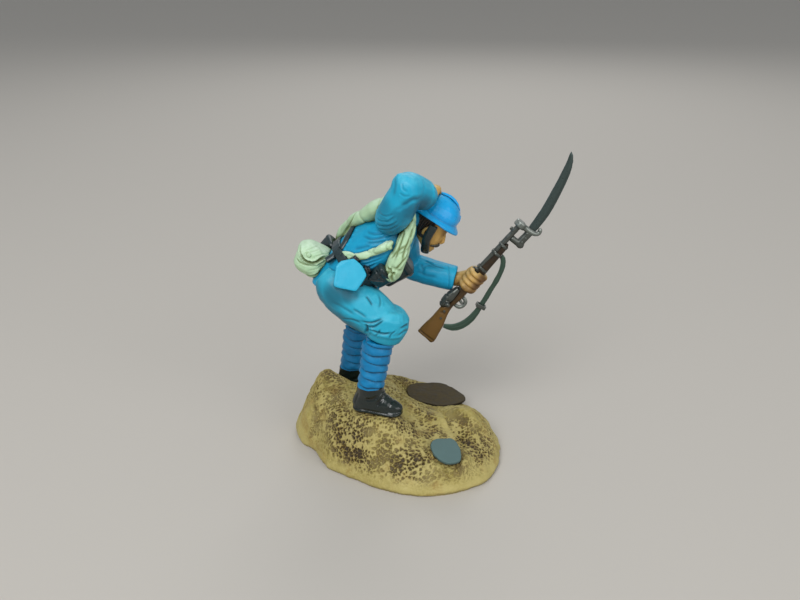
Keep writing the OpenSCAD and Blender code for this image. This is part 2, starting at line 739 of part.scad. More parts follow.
// Cropped hair below the helmet, at the back and round the ears
// Hair sections [place along the head, level as a share of its half height, half length, half width]
hair_rings = [
  [0.35, -0.5, 2.45, 2.1], [0.15, -0.3, 2.85, 2.3], [-0.1, 0.1, 3.2, 2.6], [-0.15, 0.55, 3.3, 2.7]];
module hair() {
  color("#241c18")
    difference() {
      at_head()
        intersection() {
          skin_over([
            for (s = hair_rings)
              ring([s[0], 0, s[1] * half_head], [1, 0, 0], [0, 1, 0], s[2], s[3] * head_half_width / 2.5,
                22, 1.08)]);
          translate([-5.4, -5, -3]) cube([5.6, 10, 6]);
        }
      head_form();
      neck_form();
      features();
      helmet_form();
      collar_form();
    }
}
module moustache() {
  color("#4a3a2a")
    difference() {
      at_head()
        loft([
          [1.75, -1.75, -2.25, 0.08, 0.1],
          [2.4, -1.2, -2.0, 0.24, 0.26],
          [2.85, -0.55, -1.85, 0.3, 0.32],
          [2.95, 0, -1.8, 0.26, 0.3],
          [2.85, 0.55, -1.85, 0.3, 0.32],
          [2.4, 1.2, -2.0, 0.24, 0.26],
          [1.75, 1.75, -2.25, 0.08, 0.1]], across = [0, 0, 1], sides = 10, steps = 2);
      head_form();
      features();
    }
}

// Helmet sections [level above the brim, share of the bowl's reach, reach added for the brim, dip
// fore and aft]
helmet_rings = [
  [-0.06, 1, 0.9, 0.5], [0.0, 1, 1, 0.5], [0.03, 1, 0.94, 0.42], [0.09, 1.02, 0.25, 0.16],
  [0.15, 1.0, 0, 0.06],
  [0.35, 0.985, 0, 0], [0.6, 0.88, 0, 0], [0.8, 0.69, 0, 0], [0.93, 0.44, 0, 0], [1, 0.12, 0, 0]];
helmet_sides = 28;
function helmet_ring(s) = [
  for (j = [0 : helmet_sides - 1])
    let (q = ring_point(j, helmet_sides, 1.04), front = q[0] > 0 ? 1 : 0.8)
    [q[0] * (helmet_half_length * s[1] + brim_width * s[2] * front),
     q[1] * (helmet_half_width * s[1] + brim_width * s[2] * 0.6),
     brim_level + s[0] * helmet_height - s[3] * q[0] * q[0]]];
module helmet_form() {
  at_head()
    skin_over([for (s = helmet_rings) helmet_ring(s)]);
}
module helmet() {
  color(helmet_blue)
    difference() {
      helmet_form();
      head_form();
      features();
      at_head()
        translate([0, 0, brim_level - 0.9])
          scale([helmet_half_length - 0.5, helmet_half_width - 0.45, 1])
            cylinder(r = 1, h = 1.5);
    }
}

// The comb is a low ridge over the bowl, from the boss to the nape
module comb_form() {
  at_head()
    loft([
      for (a = [38 : 13 : 150])
        [(helmet_half_length - 0.05) * cos(a), 0,
        brim_level + 0.15 + (helmet_height - 0.1) * sin(a) * 0.99,
         comb_height * (0.55 + 0.45 * sin((a - 38) / 112 * 180)), 0.34]], sides = 10, steps = 1);
}
module helmet_comb() {
  color(helmet_blue)
    difference() {
      comb_form();
      helmet_form();
    }
}
module helmet_boss() {
  color(helmet_blue)
    difference() {
      at_head()
        translate([helmet_half_length * 0.8, 0, brim_level + helmet_height * 0.4])
          rotate([0, 78, 0])
            cylinder(r1 = 0.9, r2 = 0.62, h = 0.6);
      helmet_form();
      comb_form();
    }
}
module strap_over_chin() {
  at_head()
    loft([
      [0.7, -2.6, 1.3, 0.5, 0.22],
      [0.85, -2.5, 0.0, 0.5, 0.22],
      [1.1, -2.15, -1.4, 0.5, 0.22],
      [1.45, -1.55, -2.7, 0.48, 0.22],
      [1.75, -0.8, -3.55, 0.46, 0.22],
      [1.9, 0, -3.85, 0.46, 0.22],
      [1.75, 0.8, -3.55, 0.46, 0.22],
      [1.45, 1.55, -2.7, 0.48, 0.22],
      [1.1, 2.15, -1.4, 0.5, 0.22],
      [0.85, 2.5, 0.0, 0.5, 0.22],
      [0.7, 2.6, 1.3, 0.5, 0.22]], across = [1, 0, 0.35], sides = 12, steps = 2, power = 1.8);
}
module chin_strap() {
  color(leather)
    difference() {
      strap_over_chin();
      head_form();
      features();
      helmet_form();
    }
}

// ---- Belt, pouches, straps and bags --------------------------------------

// A place on the tunic at a bearing from the front and a level up the back
function depth_at(level) = lookup(level, [for (r = tunic_rings) [r[1], r[2]]]);
function width_at(level) = lookup(level, [for (r = tunic_rings) [r[1], r[3]]]);
function on_tunic(bearing, level, out) = [
  0.2 + (depth_at(level) + out) * cos(bearing),
  (width_at(level) + out) * sin(bearing),
  level];
// A strap laid over the tunic along places [bearing, level]
module strap(path, half_width, half_thickness, out) {
  at_body()
    loft([
      for (p = path)
        concat(on_tunic(p[0], p[1], out), [half_width, half_thickness])],
      across = unit(on_tunic(path[1][0], path[1][1], 0) - [0, 0, path[1][1]]), sides = 10, steps = 3,
        power = 1.8);
}

belt_level = 5.1;
module belt_form() {
  at_body()
    trunk([
      for (k = [-0.5, 0.5])
        let (level = belt_level + k * belt_width)
        [0.2, level, depth_at(level) + belt_thickness, width_at(level) + belt_thickness, 6]], steps = 1);
}
module belt() {
  color(leather)
    difference() {
      belt_form();
      tunic_form();
    }
}

// A leather pouch with a rounded body and a flap, its back to the tunic
module pouch_form(length, height, depth) {
  skin_over([
    for (s = [[-0.5, 0.78, 0.7], [-0.44, 0.9, 0.88], [0.1, 1, 1], [0.3, 1, 1.0], [0.31, 1.06, 1.1],
      [0.46, 1.02, 0.96], [0.5, 0.86, 0.7]])
      ring([0, 0, s[0] * height], [1, 0, 0], [0, 1, 0], s[2] * depth / 2, s[1] * length / 2, 20, 2.2)]);
}
module right_pouch() {
  color(leather)
    difference() {
      at_body()
        translate([2.85, -breadth * 0.88, 7.7])
          rotate([0, 10, -66])
            pouch_form(3.6, 3.2, 2.6);
      tunic_form();
      belt_form();
      leg(right_hip, right_knee, right_ankle);
    }
}
module left_pouch() {
  color(leather)
    difference() {
      at_body()
        translate([chest + 0.5, 0.2, 8.8])
          rotate([0, 8, 0])
            pouch_form(5.2, 5.2, 3.6);
      tunic_form();
      belt_form();
      left_sleeve_form();
      roll_form();
    }
}
module shoulder_strap() {
  color(leather)
    difference() {
      strap([[-143, 2.4], [-147, 4.2], [-154, 6], [-168, 7.4], [-190, 8.4]], strap_width / 2,
        strap_thickness, 0.15);
      tunic_form();
      belt_form();
      right_sleeve_form();
      bag_form();
    }
}

// The blanket roll lies over the right shoulder, from the left hip to the front of the belt
roll_path = [
  [-2.0, 5.9, 0.133, 0.75], [-3.1, 5.2, 0.267, 1.0], [-4.3, 3.2, 0.448, 1.0], [-4.7, 0.4, 0.642, 1.0],
  [-4.9, -2.3, 0.83, 1.0], [-4.3, -3.6, 0.99, 0.95], [-2.6, -4.4, 1.06, 0.85], [-0.9, -5.0, 1.02, 0.75],
  [0.4, -5.4, 0.92, 0.8], [1.5, -5.6, 0.8, 0.95], [2.6, -5.6, 0.68, 1.1], [3.6, -5.2, 0.56, 1.0],
  [4.0, -4.9, 0.5, 0.7]];
module roll_form() {
  at_body()
    loft([for (p = roll_path) [p[0], p[1], p[2] * torso_length, p[3] * roll_radius, p[3] * roll_radius]],
      across = [1, 0, 0.2], sides = 14, steps = 2);
}
module blanket_roll() {
  color(cream)
    difference() {
      roll_form();
      tunic_form();
      belt_form();
      right_sleeve_form();
      collar_form();
      neck_form();
      head_form();
      helmet_form();
    }
}

bag_place = hips + [-3.1, 0.7, 3.3];
module bag_form() {
  translate(bag_place)
    rotate([0, 28, 0]) {
      skin_over([
        for (s = [[-0.5, 0.5], [-0.46, 0.72], [-0.3, 0.95], [-0.05, 1], [0.1, 0.97], [0.14, 1.05],
          [0.32, 1.0], [0.46, 0.74], [0.5, 0.5]])
          ring([0, 0, s[0] * bag_height], [1, 0, 0], [0, 1, 0], s[1] * bag_length / 2, s[1] * 2.7, 22,
            1.35)]);
    }
}
module bread_bag() {
  color(cream)
    difference() {
      bag_form();
      tunic_form();
      canteen_form();
      belt_form();
    }
}
module bread_bag_strap() {
  color(cream)
    difference() {
      strap([[-137, 5], [-130, 5.8], [-120, 6.5], [-110, 7.7], [-103, 9.8], [-93, 12.4]],
        strap_width * 0.55, strap_thickness, 0.25);
      tunic_form();
      belt_form();
      bag_form();
      roll_form();
      canteen_form();
      spouts();
    }
}

// The canteen hangs on the right hip, its foot swung out
canteen_place = hips + [3.1, -6.4, 3.5];
canteen_outline = [[-0.5, -0.46], [-0.5, 0.2], [-0.38, 0.36], [0.02, 0.5], [0.32, 0.3], [0.5, 0.06],
  [0.38, -0.2], [0.24, -0.5]];
module at_canteen() {
  translate(canteen_place)
    rotate([-27, 10, 0])
      children();
}
module canteen_form() {
  at_canteen()
    rotate([90, 0, 0])
      rounded_plate([for (p = canteen_outline) [p[0] * canteen_width, p[1] * canteen_height]],
        canteen_thickness, 0.5);
}
neck_length = 0.5;
// The two necks leave the canteen's top corners [along, level, lean]
necks = [[0, 0.42, 30], [0.4, 0.17, 52]];
module on_necks(out) {
  at_canteen()
    for (n = necks)
      translate([n[0] * canteen_width, 0, n[1] * canteen_height])
        rotate([22, n[2], 0])
          translate([0, 0, out])
            children();
}
module spouts() {
  on_necks(0)
    cylinder(r = spout_radius, h = neck_length);
}
module corks() {
  on_necks(neck_length)
    cylinder(r1 = spout_radius, r2 = spout_radius * 0.8, h = 0.55);
}
module canteen() {
  color(light_sky)
    difference() {
      union() {
        canteen_form();
        spouts();
      }
      tunic_form();
      belt_form();
      leg(right_hip, right_knee, right_ankle);
    }
}
module canteen_corks() {
  color(black) corks();
}
module canteen_strap() {
  color(leather)
    difference() {
      strap([[-78, 6.8], [-75, 5.6], [-72, 4.4], [-70, 3.4]], strap_width * 0.45, strap_thickness, 0.45);
      tunic_form();
      belt_form();
      canteen_form();
    }
}
module mess_tin() {
  color("#2f3836")
    difference() {
      at_body()
        translate([-4.0, 3.9, 1.9])
          rotate([0, -4, 24])
            pouch_form(3.2, 3.0, 2.2);
      tunic_form();
      bag_form();
      belt_form();
    }
}

// ---- Rifle and bayonet, in the rifle's own frame -------------------------

barrel_level = 0.3;
// Stock sections [along, level, half height, half width]
stock_sections = [
  [butt, -0.95, 1.5, 0.55], [butt + 0.15, -0.95, 1.75, 0.75], [butt + 0.9, -0.87, 1.7, 0.8],
  [butt + 3.4, -0.62, 1.32, 0.76],
  [butt + 5.6, -0.2, 0.92, 0.7], [butt + 7.4, -0.02, 0.78, 0.66], [butt + 9, -0.15, 0.86, 0.72],
  [-0.8, -0.25, 0.82, 0.78],
  [2.9, -0.25, stock_radius, 0.74], [6.4, -0.2, stock_radius * 0.88, 0.66],
  [8.3, -0.15, stock_radius * 0.78, 0.58],
  [8.6, -0.1, 0.45, 0.42]];
module stock_form(gap) {
  at_rifle()
    loft([for (s = stock_sections) [s[0], 0, s[1], s[2] + gap, s[3] + gap]], sides = 16, steps = 2,
      power = 1.25);
}
module barrel_form(gap) {
  at_rifle()
    translate([-3.2, 0, barrel_level])
      rotate([0, 90, 0])
        cylinder(r = barrel_radius + gap, h = muzzle + 3.2);
}
module rifle_bolt_form() {
  at_rifle() {
    loft([
      [-6.7, 0, 0.75, 0.35, 0.35],
      [-6.2, 0, 0.75, 0.75, 0.66],
      [-4.8, 0, 0.72, 0.95, 0.8],
      [-3.4, 0, 0.6, 0.8, 0.72],
      [-2.4, 0, 0.45, 0.6, 0.6]], sides = 16, steps = 2);
    translate([-5.4, 0, 0.75])
      rotate([100, 0, 0])
        cylinder(r = 0.22, h = 1.4);
    translate([-5.4, -1.45, 0.5])
      sphere(r = 0.4);
  }
}
module rifle_stock() {
  color(walnut)
    difference() {
      stock_form(0);
      barrel_form(0.01);
      rifle_bolt_form();
    }
}
module rifle_bolt() {
  color(gunmetal)
    difference() {
      rifle_bolt_form();
      barrel_form(0.01);
    }
}
module rifle_barrel() {
  color(gunmetal)
    difference() {
      union() {
        barrel_form(0);
        at_rifle() {
          translate([muzzle - 1.3, -0.14, barrel_level])
            cube([0.6, 0.28, barrel_radius + 0.4]);
          translate([0.9, -0.3, barrel_level])
            cube([1.5, 0.6, barrel_radius + 0.28]);
        }
      }
      rifle_bolt_form();
    }
}
module band(at, level, half_height, half_width) {
  loft([
    [at - 0.26, 0, level, half_height, half_width],
    [at + 0.26, 0, level, half_height, half_width]], sides = 20, steps = 1, power = 1.2);
}
module barrel_bands() {
  color(gunmetal)
    difference() {
      at_rifle() {
        band(2.9, -0.08, stock_radius + 0.2, 0.92);
        band(6.4, -0.05, stock_radius + 0.14, 0.86);
        band(8.1, -0.02, stock_radius + 0.08, 0.78);
      }
      stock_form(0);
      barrel_form(0.01);
      left_hand_form();
    }
}
module trigger_guard() {
  color(gunmetal)
    difference() {
      at_rifle() {
        translate([-4.1, 0, -1.15])
          rotate([90, 0, 0])
            rotate_extrude()
              translate([0.95, 0])
                circle(r = 0.24);
        translate([-4.1, 0, -1.6])
          rotate([0, 20, 0])
            cylinder(r = 0.16, h = 1);
      }
      stock_form(0);
      rifle_bolt_form();
      left_hand_form();
    }
}

// The sling hangs from the front band down to the butt: [along, level, half width seen, half thickness]
sling_path = [
  [6.5, -0.75, 0.8, 0.35], [6.35, -1.5, 0.9, 0.36], [5.4, -2.35, 1, 0.36], [3.6, -3.1, 0.95, 0.36],
  [0.9, -3.7, 0.95, 0.36],
  [-2.4, -4.4, 1, 0.38], [-5.0, -4.7, 1.2, 0.4], [-7.2, -4.3, 1.35, 0.42], [-8.6, -3.3, 1.25, 0.4],
  [-9.2, -2.1, 0.85, 0.36],
  [-9.3, -1.6, 0.7, 0.34]];
module sling_form() {
  at_rifle()
    loft([for (p = sling_path) [p[0], 0, p[1], p[2] * sling_width / 2, p[3]]], sides = 10, steps = 2,
      power = 1.6);
}
module rifle_sling() {
  color("#3c5a4c")
    difference() {
      sling_form();
      stock_form(0);
      at_rifle() band(6.4, -0.05, stock_radius + 0.14, 0.86);
      left_hand_form();
    }
}
module sling_buckle() {
  color(gunmetal)
    difference() {
      at_rifle()
        translate([-2.4, 0, -4.4])
          rotate([0, -12, 0])
            cube([0.7, 1.1, sling_width + 0.45], center = true);
      sling_form();
    }
}

guard_at = muzzle + 0.45;
grip_level = -1.75;
module bayonet_grip() {
  color(gunmetal)
    difference() {
      at_rifle() {
        loft([
          [guard_at - bayonet_grip_length, 0, grip_level - 0.1, 0.35, 0.35],
          [guard_at - bayonet_grip_length + 0.3, 0, grip_level - 0.1, 0.66, 0.46],
          [guard_at - bayonet_grip_length + 0.9, 0, grip_level, 0.5, 0.42],
          [guard_at - 0.9, 0, grip_level, 0.46, 0.4],
          [guard_at + 0.3, 0, grip_level, 0.5, 0.4]], sides = 14, steps = 2, power = 1.2);
        translate([guard_at - bayonet_grip_length + 0.35, 0, grip_level])
          cylinder(r = 0.35, h = barrel_level - grip_level - barrel_radius - 0.02);
      }
      guard_form();
      barrel_form(0.01);
      stock_form(0);
    }
}
module guard_form() {
  at_rifle() {
    translate([guard_at - 0.4, 0, barrel_level])
      rotate([0, 90, 0])
        cylinder(r = barrel_radius + 0.42, h = 0.8);
    loft([
      [guard_at, 0, barrel_level - 0.6, 0.4, 0.5],
      [guard_at + 0.1, 0, grip_level, 0.4, 0.55],
      [guard_at + 0.35, 0, grip_level - 0.9, 0.32, 0.42],
      [guard_at + 0.85, 0, grip_level - 1.25, 0.27, 0.3],
      [guard_at + 1.3, 0, grip_level - 1.05, 0.25, 0.26],
      [guard_at + 1.45, 0, grip_level - 0.85, 0.1, 0.1]], sides = 12, steps = 2);
  }
}
module bayonet_guard() {
  color(steel)
    difference() {
      guard_form();
      barrel_form(cement_gap);
    }
}
// Blade sections [share of length, rise from the grip's line, half height, half thickness]
blade_sections = [
  [0.005, 0, 0.8, 1], [0.1, 0.1, 0.95, 1], [0.28, 0.42, 1, 1], [0.45, 0.95, 1, 1], [0.62, 1.6, 0.96, 1],
  [0.78, 2.35, 0.86, 0.95], [0.9, 3.1, 0.66, 0.85], [0.97, 3.75, 0.4, 0.6], [1, 4.1, 0.08, 0.2]];
module bayonet_blade() {
  color(steel)
    difference() {
      at_rifle()
        loft([
          for (s = blade_sections)
            [guard_at + s[0] * blade_length, 0, grip_level + s[1], s[2] * blade_height / 2,
            s[3] * blade_thickness / 2]],
          sides = 8, steps = 2, power = 0.75);
      guard_form();
    }
}

// ---- The assembly --------------------------------------------------------

base_terrain();
mud_patch();
grey_stone();
right_boot();
left_boot();
right_puttee();
left_puttee();
breeches();
tunic();
collar();
right_sleeve();
left_sleeve();
right_hand();
left_hand();
head();
hair();
moustache();
helmet();
helmet_comb();
helmet_boss();
chin_strap();
belt();
right_pouch();
left_pouch();
shoulder_strap();
blanket_roll();
bread_bag();
bread_bag_strap();
canteen();
canteen_corks();
canteen_strap();
mess_tin();
rifle_stock();
rifle_barrel();
barrel_bands();
rifle_bolt();
trigger_guard();
rifle_sling();
sling_buckle();
bayonet_grip();
bayonet_guard();
bayonet_blade();
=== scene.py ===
"""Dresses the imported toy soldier: painted castings and kit on sculpted ground."""

import json
import logging
import math
from dataclasses import dataclass
from enum import Enum
from typing import Callable, Sequence

import bpy
import numpy as np
from mathutils import Matrix, Vector, noise
from mathutils.bvhtree import BVHTree

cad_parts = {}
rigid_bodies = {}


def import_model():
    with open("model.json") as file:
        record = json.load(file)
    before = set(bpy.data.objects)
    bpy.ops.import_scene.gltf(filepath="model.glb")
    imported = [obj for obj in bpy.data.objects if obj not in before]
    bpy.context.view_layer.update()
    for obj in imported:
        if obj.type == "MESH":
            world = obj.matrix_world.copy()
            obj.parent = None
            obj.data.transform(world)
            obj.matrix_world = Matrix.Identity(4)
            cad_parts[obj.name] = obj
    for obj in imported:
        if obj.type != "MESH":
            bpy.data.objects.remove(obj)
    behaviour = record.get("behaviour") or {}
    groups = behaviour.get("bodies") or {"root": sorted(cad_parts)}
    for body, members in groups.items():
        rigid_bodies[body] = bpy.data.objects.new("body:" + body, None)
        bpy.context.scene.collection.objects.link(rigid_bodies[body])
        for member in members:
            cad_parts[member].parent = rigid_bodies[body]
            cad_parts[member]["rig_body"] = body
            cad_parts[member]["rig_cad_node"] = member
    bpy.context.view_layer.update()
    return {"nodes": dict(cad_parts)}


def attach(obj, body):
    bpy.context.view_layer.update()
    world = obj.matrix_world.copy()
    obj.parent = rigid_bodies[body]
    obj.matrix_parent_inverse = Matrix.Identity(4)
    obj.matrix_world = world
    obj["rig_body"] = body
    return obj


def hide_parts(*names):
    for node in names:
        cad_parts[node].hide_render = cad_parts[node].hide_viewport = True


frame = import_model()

MM = 0.001
# Blender's noise vectors start from the clock unless they are given a seed.
NOISE_SEED = 5
Place = tuple[float, float, float]
log = logging.getLogger("toy_soldier")


# ---- Small helpers ---------------------------------------------------------


def linear(colour: str) -> tuple[float, float, float, float]:
    """Turns an sRGB hex colour to linear light.

    Args:
        colour: Six hex digits after a hash.

    Returns:
        Red, green, blue and an alpha of 1.
    """
    parts = [int(colour[i : i + 2], 16) / 255 for i in (1, 3, 5)]
    lit = [c / 12.92 if c <= 0.04045 else ((c + 0.055) / 1.055) ** 2.4 for c in parts]
    return (lit[0], lit[1], lit[2], 1.0)


def add(
    tree: bpy.types.NodeTree, kind: str, inputs: dict | None = None, out: int | str = 0,
    **settings: object,
) -> bpy.types.NodeSocket:
    """Adds a shader node with its settings and links.

    Args:
        tree: The material's node tree.
        kind: The node's type name.
        inputs: A value, or another node's output, for each input by name or number.
        out: Which of its outputs is wanted.
        settings: Values for the node's own properties.

    Returns:
        That output.
    """
    node = tree.nodes.new(kind)
    for name, value in settings.items():
        setattr(node, name, value)
    for name, value in (inputs or {}).items():
        if isinstance(value, bpy.types.NodeSocket):
            tree.links.new(value, node.inputs[name])
        else:
            node.inputs[name].default_value = value
    return node.outputs[out]


def select_only(*objs: bpy.types.Object) -> None:
    """Leaves just these objects selected, the first of them active."""
    bpy.ops.object.select_all(action="DESELECT")
    for obj in objs:
        obj.select_set(True)
    bpy.context.view_layer.objects.active = objs[0]


def apply_modifier(obj: bpy.types.Object, kind: str, **settings: object) -> None:
    """Adds a modifier and applies it.

    Args:
        obj: The mesh object that it works on.
        kind: The modifier's type name.
        settings: Values for the modifier's properties.
    """
    select_only(obj)
    modifier = obj.modifiers.new(kind.title(), kind)
    for name, value in settings.items():
        setattr(modifier, name, value)
    bpy.ops.object.modifier_apply(modifier=modifier.name)


def settle(obj: bpy.types.Object) -> None:
    """Puts an object's place and turn into its mesh."""
    select_only(obj)
    bpy.ops.object.transform_apply(location=True, rotation=True, scale=True)


def joined(name: str, parts: Sequence[bpy.types.Object]) -> bpy.types.Object:
    """Joins meshes into one object.

    Args:
        name: The joined object's name.
        parts: The objects that it is made from.

    Returns:
        The joined object.
    """
    select_only(*parts)
    if len(parts) > 1:
        bpy.ops.object.join()
    obj = bpy.context.view_layer.objects.active
    obj.name = name
    obj.data.name = name
    return obj


def curve_through(places: Sequence[Sequence[float]], steps: int = 8) -> np.ndarray:
    """Runs a smooth curve through places.

    Args:
        places: The places in order.
        steps: How many steps lie between two places.

    Returns:
        The curve's points, a row each.
    """
    knots = np.array(places, float)
    ends = np.vstack([2 * knots[0] - knots[1], knots, 2 * knots[-1] - knots[-2]])
    rows = []
    for i in range(1, len(ends) - 2):
        a, b, c, d = ends[i - 1 : i + 3]
        for f in np.arange(steps) / steps:
            rows.append(
                0.5
                * (2 * b + (c - a) * f + (2 * a - 5 * b + 4 * c - d) * f**2
                   + (3 * b - a - 3 * c + d) * f**3)
            )
    return np.array(rows + [knots[-1]])


def line_distance(points: np.ndarray, path: np.ndarray) -> tuple[np.ndarray, np.ndarray]:
    """Measures points from a bent line.

    Args:
        points: The points, a row each.
        path: The line's points in order.

    Returns:
        Each point's distance from the line, and its share of the way along it.
    """
    nearest = np.full(len(points), np.inf)
    along = np.zeros(len(points))
    for i, (a, b) in enumerate(zip(path[:-1], path[1:])):
        step = b - a
        t = np.clip((points - a) @ step / max(step @ step, 1e-12), 0, 1)
        d = np.linalg.norm(points - a - t[:, None] * step, axis=1)
        closer = d < nearest
        nearest[closer] = d[closer]
        along[closer] = (i + t[closer]) / (len(path) - 1)
    return nearest, along


# ---- Finishes --------------------------------------------------------------


NOISE = "ShaderNodeTexNoise"
RANGE = "ShaderNodeMapRange"
MATH = "ShaderNodeMath"
MIX = "ShaderNodeMix"
ATTRIBUTE = "ShaderNodeAttribute"


class Sheen(Enum):
    """How a coat of paint dries: roughness, and how much clear varnish lies over it."""

    MATT = (0.78, 0.0)
    SATIN = (0.46, 0.06)
    GLOSS = (0.3, 0.25)
    VARNISHED = (0.22, 0.5)


@dataclass(frozen=True)
class BrushedAcrylic:
    """Hobby acrylic brushed on a metal casting, with a dark wash run into the hollows.

    The brush leaves soft streaks. Upper faces get a painted highlight and undersides
    painted shade, by which way each face points, as a figure painter also paints them.
    """

    name: str
    slot: str
    base: str
    shade: str
    light: str
    sheen: Sheen = Sheen.SATIN
    wash: float = 0.75
    wash_reach_mm: float = 0.9
    painted_highlight: float = 0.55
    shaded_under: float = 0.6
    # Real brush streaks are about 0.1 mm apart, too fine to show, so they are drawn coarser.
    streak_mm: float = 0.8
    patch_mm: float = 3.2
    tooth_mm: float = 0.45
    tooth_height_mm: float = 0.03
    metallic: float = 0.0

    def material(self) -> bpy.types.Material:
        """Builds the painted material, once for each paint.

        Returns:
            The material.
        """
        if self.name in bpy.data.materials:
            return bpy.data.materials[self.name]
        made = bpy.data.materials.new(self.name)
        made.use_nodes = True
        made.diffuse_color = linear(self.base)
        tree = made.node_tree
        shader = tree.nodes["Principled BSDF"]
        self._set_sheen(shader)
        self._brush(tree, shader)
        return made

    def _set_sheen(self, shader: bpy.types.Node) -> None:
        """Sets the constants of the dried paint on the shader.

        Args:
            shader: The material's Principled BSDF.
        """
        _, varnish = self.sheen.value
        shader.inputs["IOR"].default_value = 1.5
        shader.inputs["Metallic"].default_value = self.metallic
        shader.inputs["Coat Weight"].default_value = varnish
        shader.inputs["Coat Roughness"].default_value = 0.12
        shader.inputs["Specular IOR Level"].default_value = 0.35

    def _brush(self, tree: bpy.types.NodeTree, shader: bpy.types.Node) -> None:
        """Lays the colours, the wash and the brush marks.

        Args:
            tree: The material's node tree.
            shader: Its Principled BSDF.
        """
        place = add(tree, "ShaderNodeTexCoord", out="Object")
        patch = add(tree, NOISE, {"Vector": place, "Scale": 1 / (self.patch_mm * MM),
                                  "Detail": 3.0})
        streak = add(tree, NOISE, {"Vector": place, "Scale": 1 / (self.streak_mm * MM),
                                   "Detail": 4.0, "Roughness": 0.6})
        up = add(tree, "ShaderNodeSeparateXYZ",
                 {0: add(tree, "ShaderNodeNewGeometry", out="Normal")}, out=2)
        open_share = add(tree, "ShaderNodeAmbientOcclusion",
                         {"Distance": self.wash_reach_mm * MM}, out="AO", samples=6)
        hollow = add(tree, RANGE, {0: open_share, 1: 0.9, 2: 0.35, 3: 0.0, 4: 1.0})
        uneven = add(tree, RANGE, {0: patch, 1: 0.3, 2: 0.7, 3: 0.6, 4: 1.25})
        pooled = add(tree, MATH, {0: hollow, 1: uneven}, operation="MULTIPLY")
        pooled = add(tree, MATH, {0: pooled, 1: self.wash}, operation="MULTIPLY")
        # The casting's wash attribute: wash in its creases, and painted shade on its darkened spots.
        wash_and_painted_shade = add(tree, ATTRIBUTE, out="Fac", attribute_name="wash")
        washed = add(tree, MATH, {0: pooled, 1: wash_and_painted_shade}, operation="MAXIMUM")
        # Painted highlight on upward faces and painted shade on downward ones, broken by the
        # streaks.
        upper = add(tree, RANGE, {0: up, 1: 0.15, 2: 0.95, 3: 0.0, 4: self.painted_highlight})
        dragged = add(tree, RANGE, {0: streak, 1: 0.35, 2: 0.62, 3: 0.35, 4: 1.0})
        painted_highlight_share = add(tree, MATH, {0: upper, 1: dragged}, operation="MULTIPLY")
        under = add(tree, RANGE, {0: up, 1: 0.0, 2: -0.85, 3: 0.0, 4: self.shaded_under})
        thinned = add(tree, RANGE, {0: streak, 1: 0.3, 2: 0.7, 3: 0.7, 4: 1.0})
        painted_shade_share = add(tree, MATH, {0: under, 1: thinned}, operation="MULTIPLY")
        colour = linear(self.base)
        for share, tint in ((painted_highlight_share, self.light), (painted_shade_share, self.shade), (washed, self.shade)):
            colour = add(tree, MIX, {0: share, 6: colour, 7: linear(tint)}, 2, data_type="RGBA")
        tree.links.new(colour, shader.inputs["Base Color"])
        rough, _ = self.sheen.value
        gloss = add(tree, RANGE, {0: streak, 1: 0.3, 2: 0.7, 3: rough * 0.8, 4: rough * 1.25})
        tree.links.new(gloss, shader.inputs["Roughness"])
        tooth = add(tree, NOISE, {"Vector": place, "Scale": 1 / (self.tooth_mm * MM),
                                  "Detail": 2.0})
        bump = add(tree, "ShaderNodeBump",
                   {"Height": tooth, "Distance": self.tooth_height_mm * MM, "Strength": 0.6})
        tree.links.new(bump, shader.inputs["Normal"])


# Cloth: acrylic dries satin, so it shows soft streaks and dark, washed hollows.
# Sleeves: the tunic's cloth in brighter copies of its paint, as painted light; the raised right
# sleeve also has a paler painted highlight.
LIT_RIGHT_SLEEVE = BrushedAcrylic("acrylic, light sky blue over cast sleeve", "sleeve_paint",
                            "#16a8ce", "#0c4f68", "#74e0f4")
LIT_LEFT_SLEEVE = BrushedAcrylic("acrylic, sky blue with painted light over cast left sleeve", "sleeve_paint",
                               "#06a0ce", "#064a66", "#3ed0f2")
SKY_TUNIC = BrushedAcrylic("acrylic, sky blue over cast tunic", "tunic_paint",
                           "#0298c6", "#054660", "#22c0e6")
LIGHT_BREECHES = BrushedAcrylic("acrylic, pale sky blue over cast breeches", "breeches_paint",
                                "#22a8c8", "#0e4a5c", "#60d8ee")
STRONG_BLUE = BrushedAcrylic("acrylic, strong blue over cast wrappings", "puttee_paint",
                             "#0078ae", "#04304a", "#10a4da")
# Helmet and boots: a gloss coat gives them small, sharp highlights.
HELMET_BLUE = BrushedAcrylic("gloss acrylic, bright blue over cast helmet", "helmet_paint",
                             "#00a2e6", "#025e98", "#2cc2fa", Sheen.GLOSS, wash_reach_mm=0.6)
BOOT_BLACK = BrushedAcrylic("gloss acrylic, black over cast boots", "boot_paint",
                            "#111d1a", "#050908", "#22332e", Sheen.VARNISHED)
# Flesh: the wash parts the fingers, and its undersides take a lighter painted shade than the
# cloth's.
TAN_SKIN = BrushedAcrylic("acrylic, tan with a brown wash over cast flesh", "skin_paint",
                          "#c39a52", "#4a2c12", "#e6cc90", wash=0.7, wash_reach_mm=0.6,
                          shaded_under=0.4)
# Hair: near black, with a stronger painted highlight on its upward faces, which picks out the
# strands.
DARK_HAIR = BrushedAcrylic("acrylic, dark brown over cast hair", "hair_paint",
                           "#241c16", "#0c0907", "#5c4a38", painted_highlight=0.7)
# Moustache: dark brown, with a pale painted highlight at full strength on its upper faces.
BROWN_HAIR = BrushedAcrylic("acrylic, dark brown with a pale edge over cast moustache",
                            "hair_paint", "#2b241c", "#0f0b08", "#a3a391", painted_highlight=1.0)
# Leather: almost black and glossy, with a painted highlight on its upper faces.
LEATHER_SLATE = BrushedAcrylic("acrylic, dark slate over cast leather", "leather_paint",
                               "#18282b", "#060d0f", "#465a5e", Sheen.GLOSS)
# Canvas: pale, with an olive wash that pools in the folds.
CREAM = BrushedAcrylic("acrylic, pale green cream with an olive wash over cast canvas",
                       "cream_paint", "#b9dbb2", "#6c7a42", "#e6fde8", wash=0.95,
                       wash_reach_mm=1.1)
